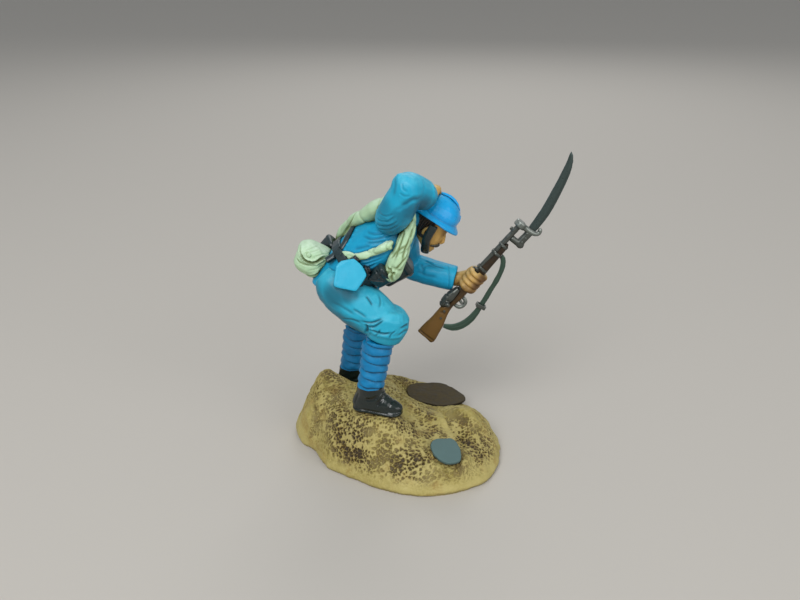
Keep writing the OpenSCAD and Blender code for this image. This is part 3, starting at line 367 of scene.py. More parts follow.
# Bottle and stoppers: evenly covered, so they look hard beside the cloth.
CANTEEN_BLUE = BrushedAcrylic("acrylic, light blue over cast canteen", "canteen_paint",
                              "#1fadd2", "#0f5a76", "#5accea")
CORK_BLACK = BrushedAcrylic("gloss acrylic, black over cast corks", "boot_paint",
                            "#16191c", "#060708", "#343b40", Sheen.GLOSS)
# Wood: a warm brown with short streaks for its grain.
WALNUT = BrushedAcrylic("acrylic, walnut brown over cast stock", "stock_paint",
                        "#6b4c1c", "#1d140a", "#967232", streak_mm=0.5)
# Metal: paint with metal flakes, half metallic, with a painted highlight on upper faces and painted
# shade below.
GUNMETAL = BrushedAcrylic("metallic acrylic, gunmetal over cast barrel", "gunmetal_paint",
                          "#4c504b", "#101413", "#9b9f98", Sheen.GLOSS, metallic=0.5)
# Sling: a dull green that hides its weave.
SLING_GREEN = BrushedAcrylic("acrylic, dark green over cast sling", "sling_paint",
                             "#334a3d", "#131e18", "#64806f")
# Steel: the blade darker, the fittings paler and with a stronger painted highlight.
BLADE_STEEL = BrushedAcrylic("metallic acrylic, dark steel over cast blade", "blade_paint",
                             "#3b4947", "#161f1e", "#a5b5b1", Sheen.GLOSS, metallic=0.45)
BRIGHT_STEEL = BrushedAcrylic("metallic acrylic, bright steel over cast fittings",
                              "gunmetal_paint", "#6f756f", "#1b201f", "#c9cec6",
                              Sheen.GLOSS, metallic=0.55, painted_highlight=0.8)
# Mud and stone: matt, so they lie flat against the glossy boots.
MUD = BrushedAcrylic("acrylic, smooth dark brown over ground", "mud_paint",
                     "#362f20", "#1b170f", "#5a4f36", Sheen.MATT, painted_highlight=0.7)
STONE_GREY = BrushedAcrylic("acrylic, blue grey over cast stone", "stone_paint",
                            "#58716f", "#334443", "#70898a", Sheen.MATT, painted_highlight=0.2)


@dataclass(frozen=True)
class DryBrushedGround:
    """Groundwork paint: a brown wash left in the pits, sandy ochre dry-brushed on top, and painted
    shadow.
    """

    # Putty stippled and dry-brushed: pale tops catch the light over brown pits.
    name: str = "acrylic, sandy ochre dry-brushed over a brown wash"
    slot: str = "groundwork_paint"
    ochre: str = "#a4954f"
    pale: str = "#bcae6c"
    umber: str = "#7d6a38"
    rust: str = "#9a7a36"
    wash: str = "#57431f"
    deep: str = "#2a1d0d"
    putty: str = "#b9c7b0"
    patch_mm: float = 5.0
    warm_patch_mm: float = 3.1
    # Real grit is about 0.1 mm, too fine to show, so it is drawn coarser.
    speck_mm: float = 0.35
    shadow_reach_mm: float = 1.2
    grit_height_mm: float = 0.12
    pit_height_mm: float = 0.14

    def material(self) -> bpy.types.Material:
        """Builds the ground's material, which reads how deep each point lies in a pit.

        Returns:
            The material.
        """
        made = bpy.data.materials.new(self.name)
        made.use_nodes = True
        made.diffuse_color = linear(self.ochre)
        tree = made.node_tree
        shader = tree.nodes["Principled BSDF"]
        shader.inputs["IOR"].default_value = 1.5
        place = add(tree, "ShaderNodeTexCoord", out="Object")
        pit, stain, chip = (add(tree, ATTRIBUTE, out="Fac", attribute_name=name)
                            for name in ("pit", "stain", "chip"))
        patch, warmth, speck = (
            add(tree, NOISE, {"Vector": place, "Scale": 1 / (size * MM), "Detail": detail})
            for size, detail in ((self.patch_mm, 4.0), (self.warm_patch_mm, 3.0),
                                 (self.speck_mm, 3.0)))
        open_share = add(tree, "ShaderNodeAmbientOcclusion",
                         {"Distance": self.shadow_reach_mm * MM}, out="AO", samples=6)
        paler = add(tree, RANGE, {0: patch, 1: 0.38, 2: 0.62, 3: 0.0, 4: 1.0})
        warmer = add(tree, RANGE, {0: warmth, 1: 0.52, 2: 0.7, 3: 0.0, 4: 0.6})
        thin = add(tree, RANGE, {0: speck, 1: 0.3, 2: 0.7, 3: 0.15, 4: 0.5})
        glazed = add(tree, MATH, {0: stain, 1: thin}, operation="MULTIPLY")
        sunk = add(tree, RANGE, {0: pit, 1: 0.2, 2: 0.65, 3: 0.0, 4: 0.75})
        dirty = add(tree, RANGE, {0: stain, 1: 0.0, 2: 0.6, 3: 0.3, 4: 1.0})
        washed = add(tree, MATH, {0: sunk, 1: dirty}, operation="MULTIPLY")
        bottom = add(tree, RANGE, {0: pit, 1: 0.55, 2: 1.0, 3: 0.0, 4: 0.9})
        dirtiest = add(tree, RANGE, {0: stain, 1: 0.3, 2: 1.0, 3: 0.0, 4: 1.0})
        darkest = add(tree, MATH, {0: bottom, 1: dirtiest}, operation="MULTIPLY")
        top = add(tree, RANGE, {0: pit, 1: 0.0, 2: 0.2, 3: 1.0, 4: 0.0})
        caught = add(tree, RANGE, {0: speck, 1: 0.38, 2: 0.6, 3: 0.1, 4: 0.7})
        crest = add(tree, MATH, {0: top, 1: caught}, operation="MULTIPLY")
        # Painted shadow: ambient occlusion darkens the ground towards the wash brown where the
        # figure, the stone and the relief close over it.
        shadow = add(tree, RANGE, {0: open_share, 1: 0.75, 2: 0.25, 3: 0.0, 4: 0.6})
        colour = linear(self.ochre)
        for share, tint in ((paler, self.pale), (warmer, self.rust), (glazed, self.umber),
                            (washed, self.wash), (darkest, self.deep), (crest, self.pale),
                            (chip, self.putty), (shadow, self.wash)):
            colour = add(tree, MIX, {0: share, 6: colour, 7: linear(tint)}, 2, data_type="RGBA")
        tree.links.new(colour, shader.inputs["Base Color"])
        gloss = add(tree, RANGE, {0: speck, 1: 0.3, 2: 0.7, 3: 0.5, 4: 0.75})
        tree.links.new(gloss, shader.inputs["Roughness"])
        grit = add(tree, "ShaderNodeBump",
                   {"Height": speck, "Distance": self.grit_height_mm * MM, "Strength": 0.8})
        hollow = add(tree, "ShaderNodeBump",
                     {"Height": pit, "Distance": self.pit_height_mm * MM, "Strength": 0.7,
                      "Normal": grit}, invert=True)
        tree.links.new(hollow, shader.inputs["Normal"])
        return made


Paint = BrushedAcrylic | DryBrushedGround


# ---- Worked castings -------------------------------------------------------


@dataclass(frozen=True)
class Fold:
    """A fold, seam or swelling worked along a line on a casting, in millimetres.

    A rise below 0 is a crease. The lip is how far its sides stand up, as a share of the rise.
    """

    path: tuple[Place, ...]
    width: float
    rise: float
    lip: float = 0.0


def mirrored(folds: Sequence[Fold]) -> tuple[Fold, ...]:
    """Copies folds to the other side of the figure's middle.

    Args:
        folds: The folds of one side.

    Returns:
        The same folds with their Y turned round.
    """
    return tuple(
        Fold(tuple((x, -y, z) for x, y, z in f.path), f.width, f.rise, f.lip) for f in folds
    )


# A crease this deep, in millimetres, is filled with wash along its whole line.
INKED_DEPTH = 0.18
# Faces that meet at a sharper angle than this keep a hard edge.
SMOOTH_BELOW = math.radians(50)
# The figure's two sides: which way Y goes, and the side's name.
SIDES = ((-1, "right"), (1, "left"))


class Casting:
    """A copy of one or more CAD pieces, remeshed finely enough to work folds into."""

    def __init__(
        self, name: str, nodes: Sequence[str], grain: float = 0.15, ease: int = 12,
        added: Sequence[bpy.types.Object] = (),
    ):
        """Copies the pieces and closes them into one fine skin.

        Args:
            name: The new piece's name.
            nodes: The CAD nodes that it stands for.
            grain: The size of the skin's faces, in millimetres.
            ease: How many times the skin is smoothed.
            added: Roughed-out forms, in metres, that the skin also closes over.
        """
        self.nodes = tuple(nodes)
        copies = list(added)
        for node in nodes:
            copy = frame["nodes"][node].copy()
            copy.data = copy.data.copy()
            copy.parent = None
            bpy.context.scene.collection.objects.link(copy)
            copy.hide_render = False
            copy.hide_viewport = False
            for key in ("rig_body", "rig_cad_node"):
                if key in copy:
                    del copy[key]
            copies.append(copy)
        self.obj = joined(name, copies)
        self.obj.data.materials.clear()
        select_only(self.obj)
        bpy.ops.object.mode_set(mode="EDIT")
        bpy.ops.mesh.select_all(action="SELECT")
        bpy.ops.mesh.remove_doubles(threshold=0.002 * MM)
        bpy.ops.object.mode_set(mode="OBJECT")
        self.obj.data.transform(Matrix.Scale(1 / MM, 4))
        apply_modifier(self.obj, "REMESH", mode="VOXEL", voxel_size=grain,
                       use_smooth_shade=True)
        if ease:
            apply_modifier(self.obj, "SMOOTH", factor=0.5, iterations=ease)
        # How dark each point is drawn: the creases' wash, and painted shade laid on by darken.
        self.wash = np.zeros(0)
        self.read()

    def read(self) -> None:
        """Reads the skin's points and their outward directions."""
        mesh = self.obj.data
        self.points = np.empty(len(mesh.vertices) * 3)
        mesh.vertices.foreach_get("co", self.points)
        self.points = self.points.reshape(-1, 3)
        self.outward = np.empty(len(mesh.vertices) * 3)
        mesh.vertices.foreach_get("normal", self.outward)
        self.outward = self.outward.reshape(-1, 3)
        if len(self.wash) != len(self.points):
            self.wash = np.zeros(len(self.points))

    def write(self) -> None:
        """Writes the points back and finds the outward directions again."""
        self.obj.data.vertices.foreach_set("co", self.points.ravel())
        self.obj.data.update()
        self.read()

    def push(self, rise: np.ndarray) -> "Casting":
        """Moves every point outwards by its own rise, in millimetres.

        Args:
            rise: How far each point moves.

        Returns:
            The casting itself.
        """
        self.points = self.points + self.outward * rise[:, None]
        self.write()
        return self

    def work(self, folds: Sequence[Fold]) -> "Casting":
        """Works folds, seams and swellings into the skin.

        Args:
            folds: The folds, each along a line that is first laid on the skin.

        Returns:
            The casting itself.
        """
        tree = BVHTree.FromPolygons(
            self.points.tolist(), [tuple(p.vertices) for p in self.obj.data.polygons])
        rise = np.zeros(len(self.points))
        for fold in folds:
            path = curve_through(fold.path, 6) if len(fold.path) > 1 else np.array(fold.path * 2)
            laid = np.array([tree.find_nearest(Vector(p))[0] for p in path])
            reach = 3.2 * fold.width
            near = np.all((self.points > laid.min(0) - reach)
                          & (self.points < laid.max(0) + reach), axis=1)
            d, along = line_distance(self.points[near], laid)
            fade = 1.0 if len(fold.path) == 1 else np.clip(
                np.sin(np.pi * np.clip(along, 0.02, 0.98)) * 1.8, 0, 1)
            shape = np.exp(-((d / fold.width) ** 2))
            if fold.lip:
                shape = shape - fold.lip * np.exp(-(((d - 1.7 * fold.width)
                                                     / (0.8 * fold.width)) ** 2))
            rise[near] += fold.rise * shape * fade
            if fold.rise < 0:
                ink = min(1.0, -fold.rise / INKED_DEPTH) * np.exp(-((d / (0.8 * fold.width)) ** 2))
                self.wash[near] = np.maximum(self.wash[near], ink * fade)
        return self.push(rise)

    def darken(self, spots: Sequence[tuple[Place, float, float]]) -> "Casting":
        """Darkens parts of the skin towards the paint's shade colour, mostly as painted shade.

        Args:
            spots: Each spot's middle, its reach in millimetres, and how dark it is.

        Returns:
            The casting itself.
        """
        for middle, reach, dark in spots:
            d = np.linalg.norm(self.points - np.array(middle), axis=1)
            self.wash = np.maximum(self.wash, dark * np.exp(-((d / reach) ** 4)))
        return self

    def dimple(self, size: float, depth: float, seed: int) -> "Casting":
        """Leaves the slight unevenness of a hand-made master.

        Args:
            size: How far apart the swellings lie, in millimetres.
            depth: How far they stand out or sink.
            seed: Sets where they lie.

        Returns:
            The casting itself.
        """
        shift = Vector((seed * 17.3, seed * 5.1, seed * 9.7))
        rise = np.array([noise.noise(Vector(p) / size + shift) for p in self.points])
        return self.push(rise * depth)

    def crumple(self, size: float, depth: float, seed: int, ink: float = 0.5) -> "Casting":
        """Crushes cloth into soft facets that meet in wandering creases.

        Args:
            size: How far apart the creases lie, in millimetres.
            depth: How deep they are.
            seed: Sets where they run.
            ink: How dark the wash lies in them.

        Returns:
            The casting itself.
        """
        shift = Vector((seed * 11.9, seed * 7.3, seed * 3.7))
        bend = [noise.noise_vector(Vector(p) / (1.7 * size)) * 0.35 for p in self.points]
        folded = np.array([abs(noise.noise(Vector(p) / size + shift + b))
                           for p, b in zip(self.points, bend)])
        crease = np.exp(-((folded / 0.07) ** 2))
        self.wash = np.maximum(self.wash, ink * crease)
        return self.push(depth * (np.minimum(folded, 0.35) - 0.6 * crease))

    def spot(self, place: Place) -> tuple[Vector, Vector]:
        """Finds the skin's nearest point to a place, and its outward direction."""
        i = int(np.argmin(np.linalg.norm(self.points - np.array(place), axis=1)))
        return Vector(self.points[i]), Vector(self.outward[i])

    def ease(self, times_over: int) -> "Casting":
        """Smooths the skin again.

        Args:
            times_over: How many times the skin is smoothed.

        Returns:
            The casting itself.
        """
        apply_modifier(self.obj, "SMOOTH", factor=0.5, iterations=times_over)
        self.read()
        return self

    def finish(self, paint: Paint) -> bpy.types.Object:
        """Turns the skin back to metres and hangs it on the figure.

        Args:
            paint: The paint that it is finished in.

        Returns:
            The finished piece.
        """
        layer = self.obj.data.attributes.new("wash", "FLOAT", "POINT")
        layer.data.foreach_set("value", self.wash.astype(np.float32))
        self.obj.data.transform(Matrix.Scale(MM, 4))
        return placed(self.obj, paint, *self.nodes)


def placed(obj: bpy.types.Object, paint: Paint, *nodes: str) -> bpy.types.Object:
    """Paints a finished piece and lets it ride on the figure.

    Args:
        obj: The piece, in place and in metres.
        paint: Its paint.
        nodes: The CAD nodes that it stands for.

    Returns:
        The piece.
    """
    obj.data.materials.clear()
    obj.data.materials.append(paint.material())
    select_only(obj)
    bpy.ops.object.shade_smooth_by_angle(angle=SMOOTH_BELOW)
    if nodes:
        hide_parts(*nodes)
    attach(obj, "root")
    log.info("%s: %d faces", obj.name, len(obj.data.polygons))
    return obj


def plain_casting(
    node: str, paint: Paint, grain: float, ease: int, uneven: tuple[float, float, int],
    name: str = "",
) -> bpy.types.Object:
    """Makes a piece that has no folds, only the unevenness of a hand-made master.

    Args:
        node: The CAD node that it stands for.
        paint: Its paint.
        grain: The size of the skin's faces, in millimetres.
        ease: How many times the skin is smoothed.
        uneven: How far apart the swellings lie, how far they stand out, and their seed.
        name: The piece's name, where it isn't the node's with _cast after it.

    Returns:
        The finished piece.
    """
    cast = Casting(name or f"{node}_cast", [node], grain=grain, ease=ease)
    return cast.dimple(*uneven).finish(paint)


def beaded(places: Sequence[Place], radii: Sequence[float]) -> bpy.types.Object:
    """Roughs out a finger-like form as a close row of balls, for a skin to close over.

    Args:
        places: Where the form runs, in millimetres.
        radii: Its radius at each place, in millimetres.

    Returns:
        The form, in metres.
    """
    path = curve_through(places, 6)
    sizes = np.interp(np.linspace(0, 1, len(path)), np.linspace(0, 1, len(radii)), radii)
    balls = []
    for place, size in zip(path, sizes):
        bpy.ops.object.select_all(action="DESELECT")
        bpy.ops.mesh.primitive_ico_sphere_add(subdivisions=2, radius=size * MM,
                                              location=Vector(place) * MM)
        balls.append(bpy.context.object)
    row = joined("beads", balls)
    settle(row)
    return row


def stud(name: str, at: Vector, facing: Vector, radius: float, height: float) -> bpy.types.Object:
    """Makes a round stud with an eased edge, half sunk where it stands.

    Args:
        name: The stud's name.
        at: The middle of the stud, in millimetres.
        facing: The way that its head faces.
        radius: Its radius in millimetres.
        height: Its whole height in millimetres.

    Returns:
        The stud, in metres.
    """
    bpy.ops.object.select_all(action="DESELECT")
    bpy.ops.mesh.primitive_cylinder_add(
        vertices=24, radius=radius * MM, depth=height * MM, location=Vector(at) * MM,
        rotation=Vector(facing).to_track_quat("Z", "Y").to_euler())
    obj = bpy.context.object
    obj.name = name
    for face in obj.data.polygons:
        face.select = abs(face.normal.z) > 0.9
    bpy.ops.object.mode_set(mode="EDIT")
    bpy.ops.mesh.select_mode(type="FACE")
    bpy.ops.mesh.bevel(offset=0.35 * min(height, radius) * MM, segments=3, affect="EDGES")
    bpy.ops.object.mode_set(mode="OBJECT")
    settle(obj)
    return obj


def ring(name: str, at: Vector, facing: Vector, radius: float, thick: float) -> bpy.types.Object:
    """Makes a round ring.

    Args:
        name: The ring's name.
        at: Its middle, in millimetres.
        facing: The way that its axis points.
        radius: The radius of its middle line, in millimetres.
        thick: The radius of its wire, in millimetres.

    Returns:
        The ring, in metres.
    """
    bpy.ops.object.select_all(action="DESELECT")
    bpy.ops.mesh.primitive_torus_add(
        location=Vector(at) * MM, rotation=Vector(facing).to_track_quat("Z", "Y").to_euler(),
        major_radius=radius * MM, minor_radius=thick * MM, major_segments=36, minor_segments=10)
    obj = bpy.context.object
    obj.name = name
    settle(obj)
    return obj


# ---- Groundwork --------------------------------------------------------------


@dataclass(frozen=True)
class Patch:
    """An oval of ground, in millimetres, with its long axis on a bearing in degrees."""

    x: float
    y: float
    half_length: float
    half_width: float
    bearing: float
    strength: float

    def cover(self, points: np.ndarray) -> np.ndarray:
        """Measures how strongly the patch covers each point, from 0 to its strength.

        Args:
            points: The points, a row each, in millimetres.

        Returns:
            The cover of each point.
        """
        a = math.radians(self.bearing)
        along = (points[:, 0] - self.x) * math.cos(a) + (points[:, 1] - self.y) * math.sin(a)
        across = (points[:, 1] - self.y) * math.cos(a) - (points[:, 0] - self.x) * math.sin(a)
        far = np.sqrt((along / self.half_length) ** 2 + (across / self.half_width) ** 2)
        return self.strength * np.clip(1.6 - far, 0, 1)


@dataclass
class Groundwork:
    """The sculpted ground with its pitted grain, the mud patch and the flat stone."""

    grain_mm: float = 0.185
    pit_spacing_mm: float = 0.62
    pit_depth_mm: float = 0.27
    smooth_rim_mm: float = 2.0
    underside_mm: float = 0.08
    stain_size_mm: float = 3.4
    chip_radius_mm: float = 1.15
    knolls: tuple[float, float, int] = (2.8, 0.34, 1)
    lumps: tuple[float, float, int] = (1.2, 0.12, 2)
    mud_half_mm: tuple[float, float] = (5.8, 4.0)
    mud_turn: float = -24.0
    stained: tuple[Patch, ...] = (
        Patch(-8.6, -8.6, 6.0, 2.0, -61, 1.0), Patch(-15.6, 0.0, 2.8, 1.4, 75, 0.75),
        Patch(2.4, -6.2, 4.4, 2.4, 12, 1.0), Patch(1.6, -12.8, 3.6, 1.7, 10, 0.95),
        Patch(10.5, -7.0, 3.8, 1.7, -57, 1.0), Patch(14.8, -9.4, 4.2, 2.0, -65, 0.9),
        Patch(5.5, -2.0, 4.5, 1.0, -30, 0.6), Patch(-2.0, 3.5, 3.0, 2.0, -30, 0.5),
        Patch(-12.5, 9.0, 4.5, 2.2, 50, 0.8), Patch(-4.0, 14.0, 4.5, 1.8, 8, 0.9),
        Patch(2.0, 16.0, 3.4, 1.4, -10, 0.7))
    smooth: tuple[Patch, ...] = (
        Patch(-0.6, -1.6, 2.4, 1.6, -35, 1.0), Patch(-17.2, -0.4, 2.2, 2.0, 0, 0.9),
        Patch(11.8, -1.4, 2.6, 0.9, -40, 0.8), Patch(7.6, -3.6, 3.6, 0.7, -68, 0.8))
    cracks: tuple[Fold, ...] = (
        Fold(((-12.4, -3.2, 9.5), (-10.6, -2.9, 9.5), (-8.6, -3.6, 9.8)), 0.26, -0.55, 0.2),
        Fold(((-15.6, -3.6, 5), (-14.9, -2.0, 7), (-15.4, 0.6, 8)), 0.4, -0.5, 0.2),
        Fold(((7.8, -1.6, 8), (8.6, -3.6, 8), (9.0, -5.4, 7)), 0.35, -0.35, 0.3),
        Fold(((-2.6, -17, 3), (-2.2, -15.6, 4), (-2.6, -14, 5)), 0.3, -0.3, 0.1))
    ridges: tuple[Fold, ...] = (
        Fold(((6.2, 1.0, 6.0), (7.4, -2.4, 6.0), (8.6, -5.2, 5.2), (9.8, -7.6, 4.6)), 0.9, 0.3),
        Fold(((9.2, 0.6, 5.9), (11.3, -1.4, 6.7), (12.9, -2.8, 6.0), (14.2, -4.4, 4.6)), 0.9, 0.3),
        Fold(((-8.7, 1.3, 10.5), (-9.3, -0.9, 9.8), (-9.0, -3.0, 9.4)), 1.1, 0.25),
        Fold(((4.2, -11.0, 5.0), (5.4, -13.6, 4.4), (7.8, -15.0, 4.0), (10.0, -14.2, 4.0),
              (10.8, -12.0, 4.2), (10.4, -9.8, 4.6)), 0.9, 0.75),
        Fold(((0.6, 14.6, 2.6), (3.6, 16.2, 2.4), (7.4, 15.8, 2.2), (11.0, 13.0, 2.2),
              (12.6, 9.6, 2.4)), 0.8, 0.5),
        Fold(((4.1, -10.0, 5.5), (4.5, -11.6, 5.2), (5.4, -13.2, 4.8)), 0.25, -0.4, 0.2))
    stone_outline: tuple[tuple[float, float], ...] = (
        (-2.3, 1.8), (-1.35, 2.95), (-0.15, 2.9), (1.0, 3.15), (1.85, 2.5), (2.3, 1.3),
        (2.55, -0.1), (2.5, -1.4), (1.9, -2.1), (0.6, -2.3), (-0.45, -2.0), (-1.45, -1.1),
        (-2.25, 0.4))
    chips: tuple[Place, ...] = ((-15.3, 6.2, 10.4), (14.6, -1.4, 7.2))

    def build(self) -> None:
        """Builds the ground, the mud and the stone."""
        self._ground()
        mud = Casting("mud", ["mud_patch"], grain=0.13, ease=6)
        self._reshape(mud, self._puddle())
        mud.dimple(1.9, 0.16, 3).dimple(0.7, 0.06, 4).finish(MUD)
        stone = Casting("flat_stone", ["grey_stone"], grain=0.1, ease=5)
        self._reshape(stone, self.stone_outline)
        stone.dimple(1.8, 0.06, 8).finish(STONE_GREY)

    def _puddle(self) -> list[tuple[float, float]]:
        """Draws the mud's uneven outline round its middle.

        Returns:
            The corners in plan, in millimetres.
        """
        turn = math.radians(self.mud_turn)
        outline = []
        for k in range(30):
            b = math.tau * k / 30
            x = self.mud_half_mm[0] * math.cos(b) * (1 + 0.04 * math.sin(3 * b + 1))
            y = self.mud_half_mm[1] * math.sin(b) * (1 + 0.05 * math.sin(5 * b))
            outline.append((x * math.cos(turn) - y * math.sin(turn),
                            x * math.sin(turn) + y * math.cos(turn)))
        return outline

    def _reshape(self, cast: Casting, outline: Sequence[tuple[float, float]]) -> None:
        """Draws a flat piece's edge in or out to an outline.

        Args:
            cast: The piece.
            outline: The outline's corners in plan, from the piece's middle, in millimetres.
        """
        middle = (cast.points.min(0) + cast.points.max(0))[:2] / 2
        flat = cast.points[:, :2] - middle
        bearing = np.arctan2(flat[:, 1], flat[:, 0])
        reach = np.linalg.norm(flat, axis=1)
        slots = np.linspace(-math.pi, math.pi, 49)
        mids = (slots[1:] + slots[:-1]) / 2
        now = np.array([reach[(bearing >= a) & (bearing < b)].max()
                        for a, b in zip(slots[:-1], slots[1:])])
        corners = np.array(outline)
        corner_bearing = np.arctan2(corners[:, 1], corners[:, 0])
        order = np.argsort(corner_bearing)
        wanted = np.interp(mids, corner_bearing[order],
                           np.linalg.norm(corners, axis=1)[order], period=math.tau)
        share = np.interp(bearing, mids, wanted / now, period=math.tau)
        cast.points[:, :2] = middle + flat * share[:, None]
        cast.write()

    def _ground(self) -> None:
        """Works the cracks, the unevenness and the pits, and stores where the wash lies."""
        ground = Casting("groundwork", ["base_terrain"], grain=self.grain_mm, ease=26)
        underside = ground.points[:, 2] < self.underside_mm
        ground.work(self.cracks)
        ground.work(self.ridges).dimple(*self.knolls).dimple(*self.lumps)
        points = ground.points
        stain = np.array([0.3 + 0.6 * noise.noise(Vector(p) / self.stain_size_mm)
                          for p in points])
        for patch in self.stained:
            stain = np.maximum(stain, patch.cover(points))
        bare = np.clip((points[:, 2] - self.smooth_rim_mm * 0.5) / self.smooth_rim_mm, 0.08, 1)
        for patch in self.smooth:
            bare = np.minimum(bare, 1 - patch.cover(points))
        pit = self._pits(points)
        stain = np.clip(stain, 0.12, 1) * bare
        depth = pit * (0.45 + 0.55 * stain) * bare
        ground.push(-self.pit_depth_mm * depth)
        ground.points[:, 2] = np.where(underside, 0, np.maximum(ground.points[:, 2], 0))
        ground.write()
        self._store(ground.obj, "pit", pit * bare)
        self._store(ground.obj, "stain", stain)
        self._store(ground.obj, "chip", self._chips(points))
        self._flatten_underside(ground.obj)
        ground.read()
        ground.finish(DryBrushedGround())

    def _pits(self, points: np.ndarray) -> np.ndarray:
        """Scatters worm-like pits, as a stippled tool leaves them in putty.

        Args:
            points: The skin's points in millimetres.

        Returns:
            How far each point lies down a pit, from 0 to 1.
        """
        size = self.pit_spacing_mm
        pit = np.empty(len(points))
        for i, p in enumerate(points):
            place = Vector(p) / size
            bend = noise.noise_vector(place * 0.8) * 0.45
            near = noise.voronoi(place + bend)[0]
            pit[i] = near[0] - near[1] + 0.25 * noise.noise(place * 0.35)
        low, high = np.quantile(pit, (0.2, 0.72))
        share = np.clip((high - pit) / (high - low), 0, 1)
        return share * share * (3 - 2 * share)

    def _chips(self, points: np.ndarray) -> np.ndarray:
        """Marks the pale flakes where the putty shows through the paint.

        Args:
            points: The skin's points in millimetres.

        Returns:
            How much each point shows the putty, from 0 to 1.
        """
        chip = np.zeros(len(points))
        for place in self.chips:
            far = np.linalg.norm(points - np.array(place), axis=1)
            chip = np.maximum(chip, np.clip((self.chip_radius_mm - far) / 0.3, 0, 1))
        return chip

    def _store(self, obj: bpy.types.Object, name: str, values: np.ndarray) -> None:
        """Keeps a value for each point of a mesh under a name that a material reads."""
        kept = obj.data.attributes.new(name, "FLOAT", "POINT")
        kept.data.foreach_set("value", values.astype(np.float32))

    def _flatten_underside(self, obj: bpy.types.Object) -> None:
        """Merges the flat underside's many faces into a few.

        Args:
            obj: The ground, in millimetres.
        """
        select_only(obj)
        for face in obj.data.polygons:
            face.select = face.normal.z < -0.999 and face.center.z < 0.05
        bpy.ops.object.mode_set(mode="EDIT")
        bpy.ops.mesh.select_mode(type="FACE")
        bpy.ops.mesh.dissolve_limited(angle_limit=math.radians(2))
        bpy.ops.object.mode_set(mode="OBJECT")


# ---- Legs --------------------------------------------------------------------


@dataclass
class Boots:
    """Two cast ankle boots with a welt, a toe seam and laces."""

    grain_mm: float = 0.12
    welt_level_mm: float = 0.62
    right_turn: float = -16.0
    left_turn: float = 10.0
    right_heel: Place = (-4.9, -5.6, 9.9)
    left_heel: Place = (-8.7, 7.4, 6.4)

    def build(self) -> None:
        """Builds both boots."""
        for side, heel, turn in (("right", self.right_heel, self.right_turn),
                                 ("left", self.left_heel, self.left_turn)):
            boot = Casting(f"{side}_boot_cast", [f"{side}_boot"], grain=self.grain_mm, ease=8)
            boot.work([self._at(heel, turn, f) for f in self._folds()])
            boot.dimple(1.4, 0.05, 5).finish(BOOT_BLACK)

    def _folds(self) -> list[Fold]:
        """Lists the boot's seams and creases in the foot's own frame.

        Returns:
            The folds.
        """
        half_sole = ((5.3, 0.0), (4.6, 1.6), (2.4, 1.75), (0, 1.6), (-2.6, 1.3), (-3.2, 0))
        welt = [(x, y, self.welt_level_mm) for x, y in half_sole]
        welt = welt + [(x, -y, z) for x, y, z in reversed(welt[1:-1])] + [welt[0]]
        folds = [Fold(tuple(welt[:6]), 0.14, -0.13), Fold(tuple(welt[5:]), 0.14, -0.13)]
        for side in (-1, 1):
            folds += [
                Fold(((3.6, 0.0, 2.1), (3.5, side * 0.9, 1.7), (3.1, side * 1.6, 0.9)), 0.16, -0.1),
                Fold(((2.2, side * 0.3, 2.9), (1.9, side * 1.2, 2.4),
                      (1.6, side * 1.7, 1.6)), 0.3, -0.16, 0.4),
                Fold(((1.7, side * 0.8, 3.4), (0.6, side * 1.6, 2.8),
                      (-0.6, side * 1.7, 2.6)), 0.3, -0.12, 0.4),
                Fold(((-1.8, side * 1.5, 3.6), (-2.2, side * 1.3, 2.4),
                      (-2.6, side * 1.2, 1.0)), 0.2, -0.1)]
        for k in range(4):
            x, z = 1.9 + 0.42 * k, 3.5 - 0.36 * k
            folds.append(Fold(((x, -0.6, z), (x + 0.1, 0, z + 0.05), (x, 0.6, z)), 0.12, 0.05))
        return folds

    def _at(self, heel: Place, turn: float, fold: Fold) -> Fold:
        """Turns and moves a fold from the foot's frame to the figure's.

        Args:
            heel: Where the foot's frame starts.
            turn: The foot's turn in degrees.
            fold: The fold in the foot's frame.

        Returns:
            The fold in the figure's frame.
        """
        c, s = math.cos(math.radians(turn)), math.sin(math.radians(turn))
        path = tuple((heel[0] + c * x - s * y, heel[1] + s * x + c * y, heel[2] + z)
                     for x, y, z in fold.path)
        return Fold(path, fold.width, fold.rise, fold.lip)


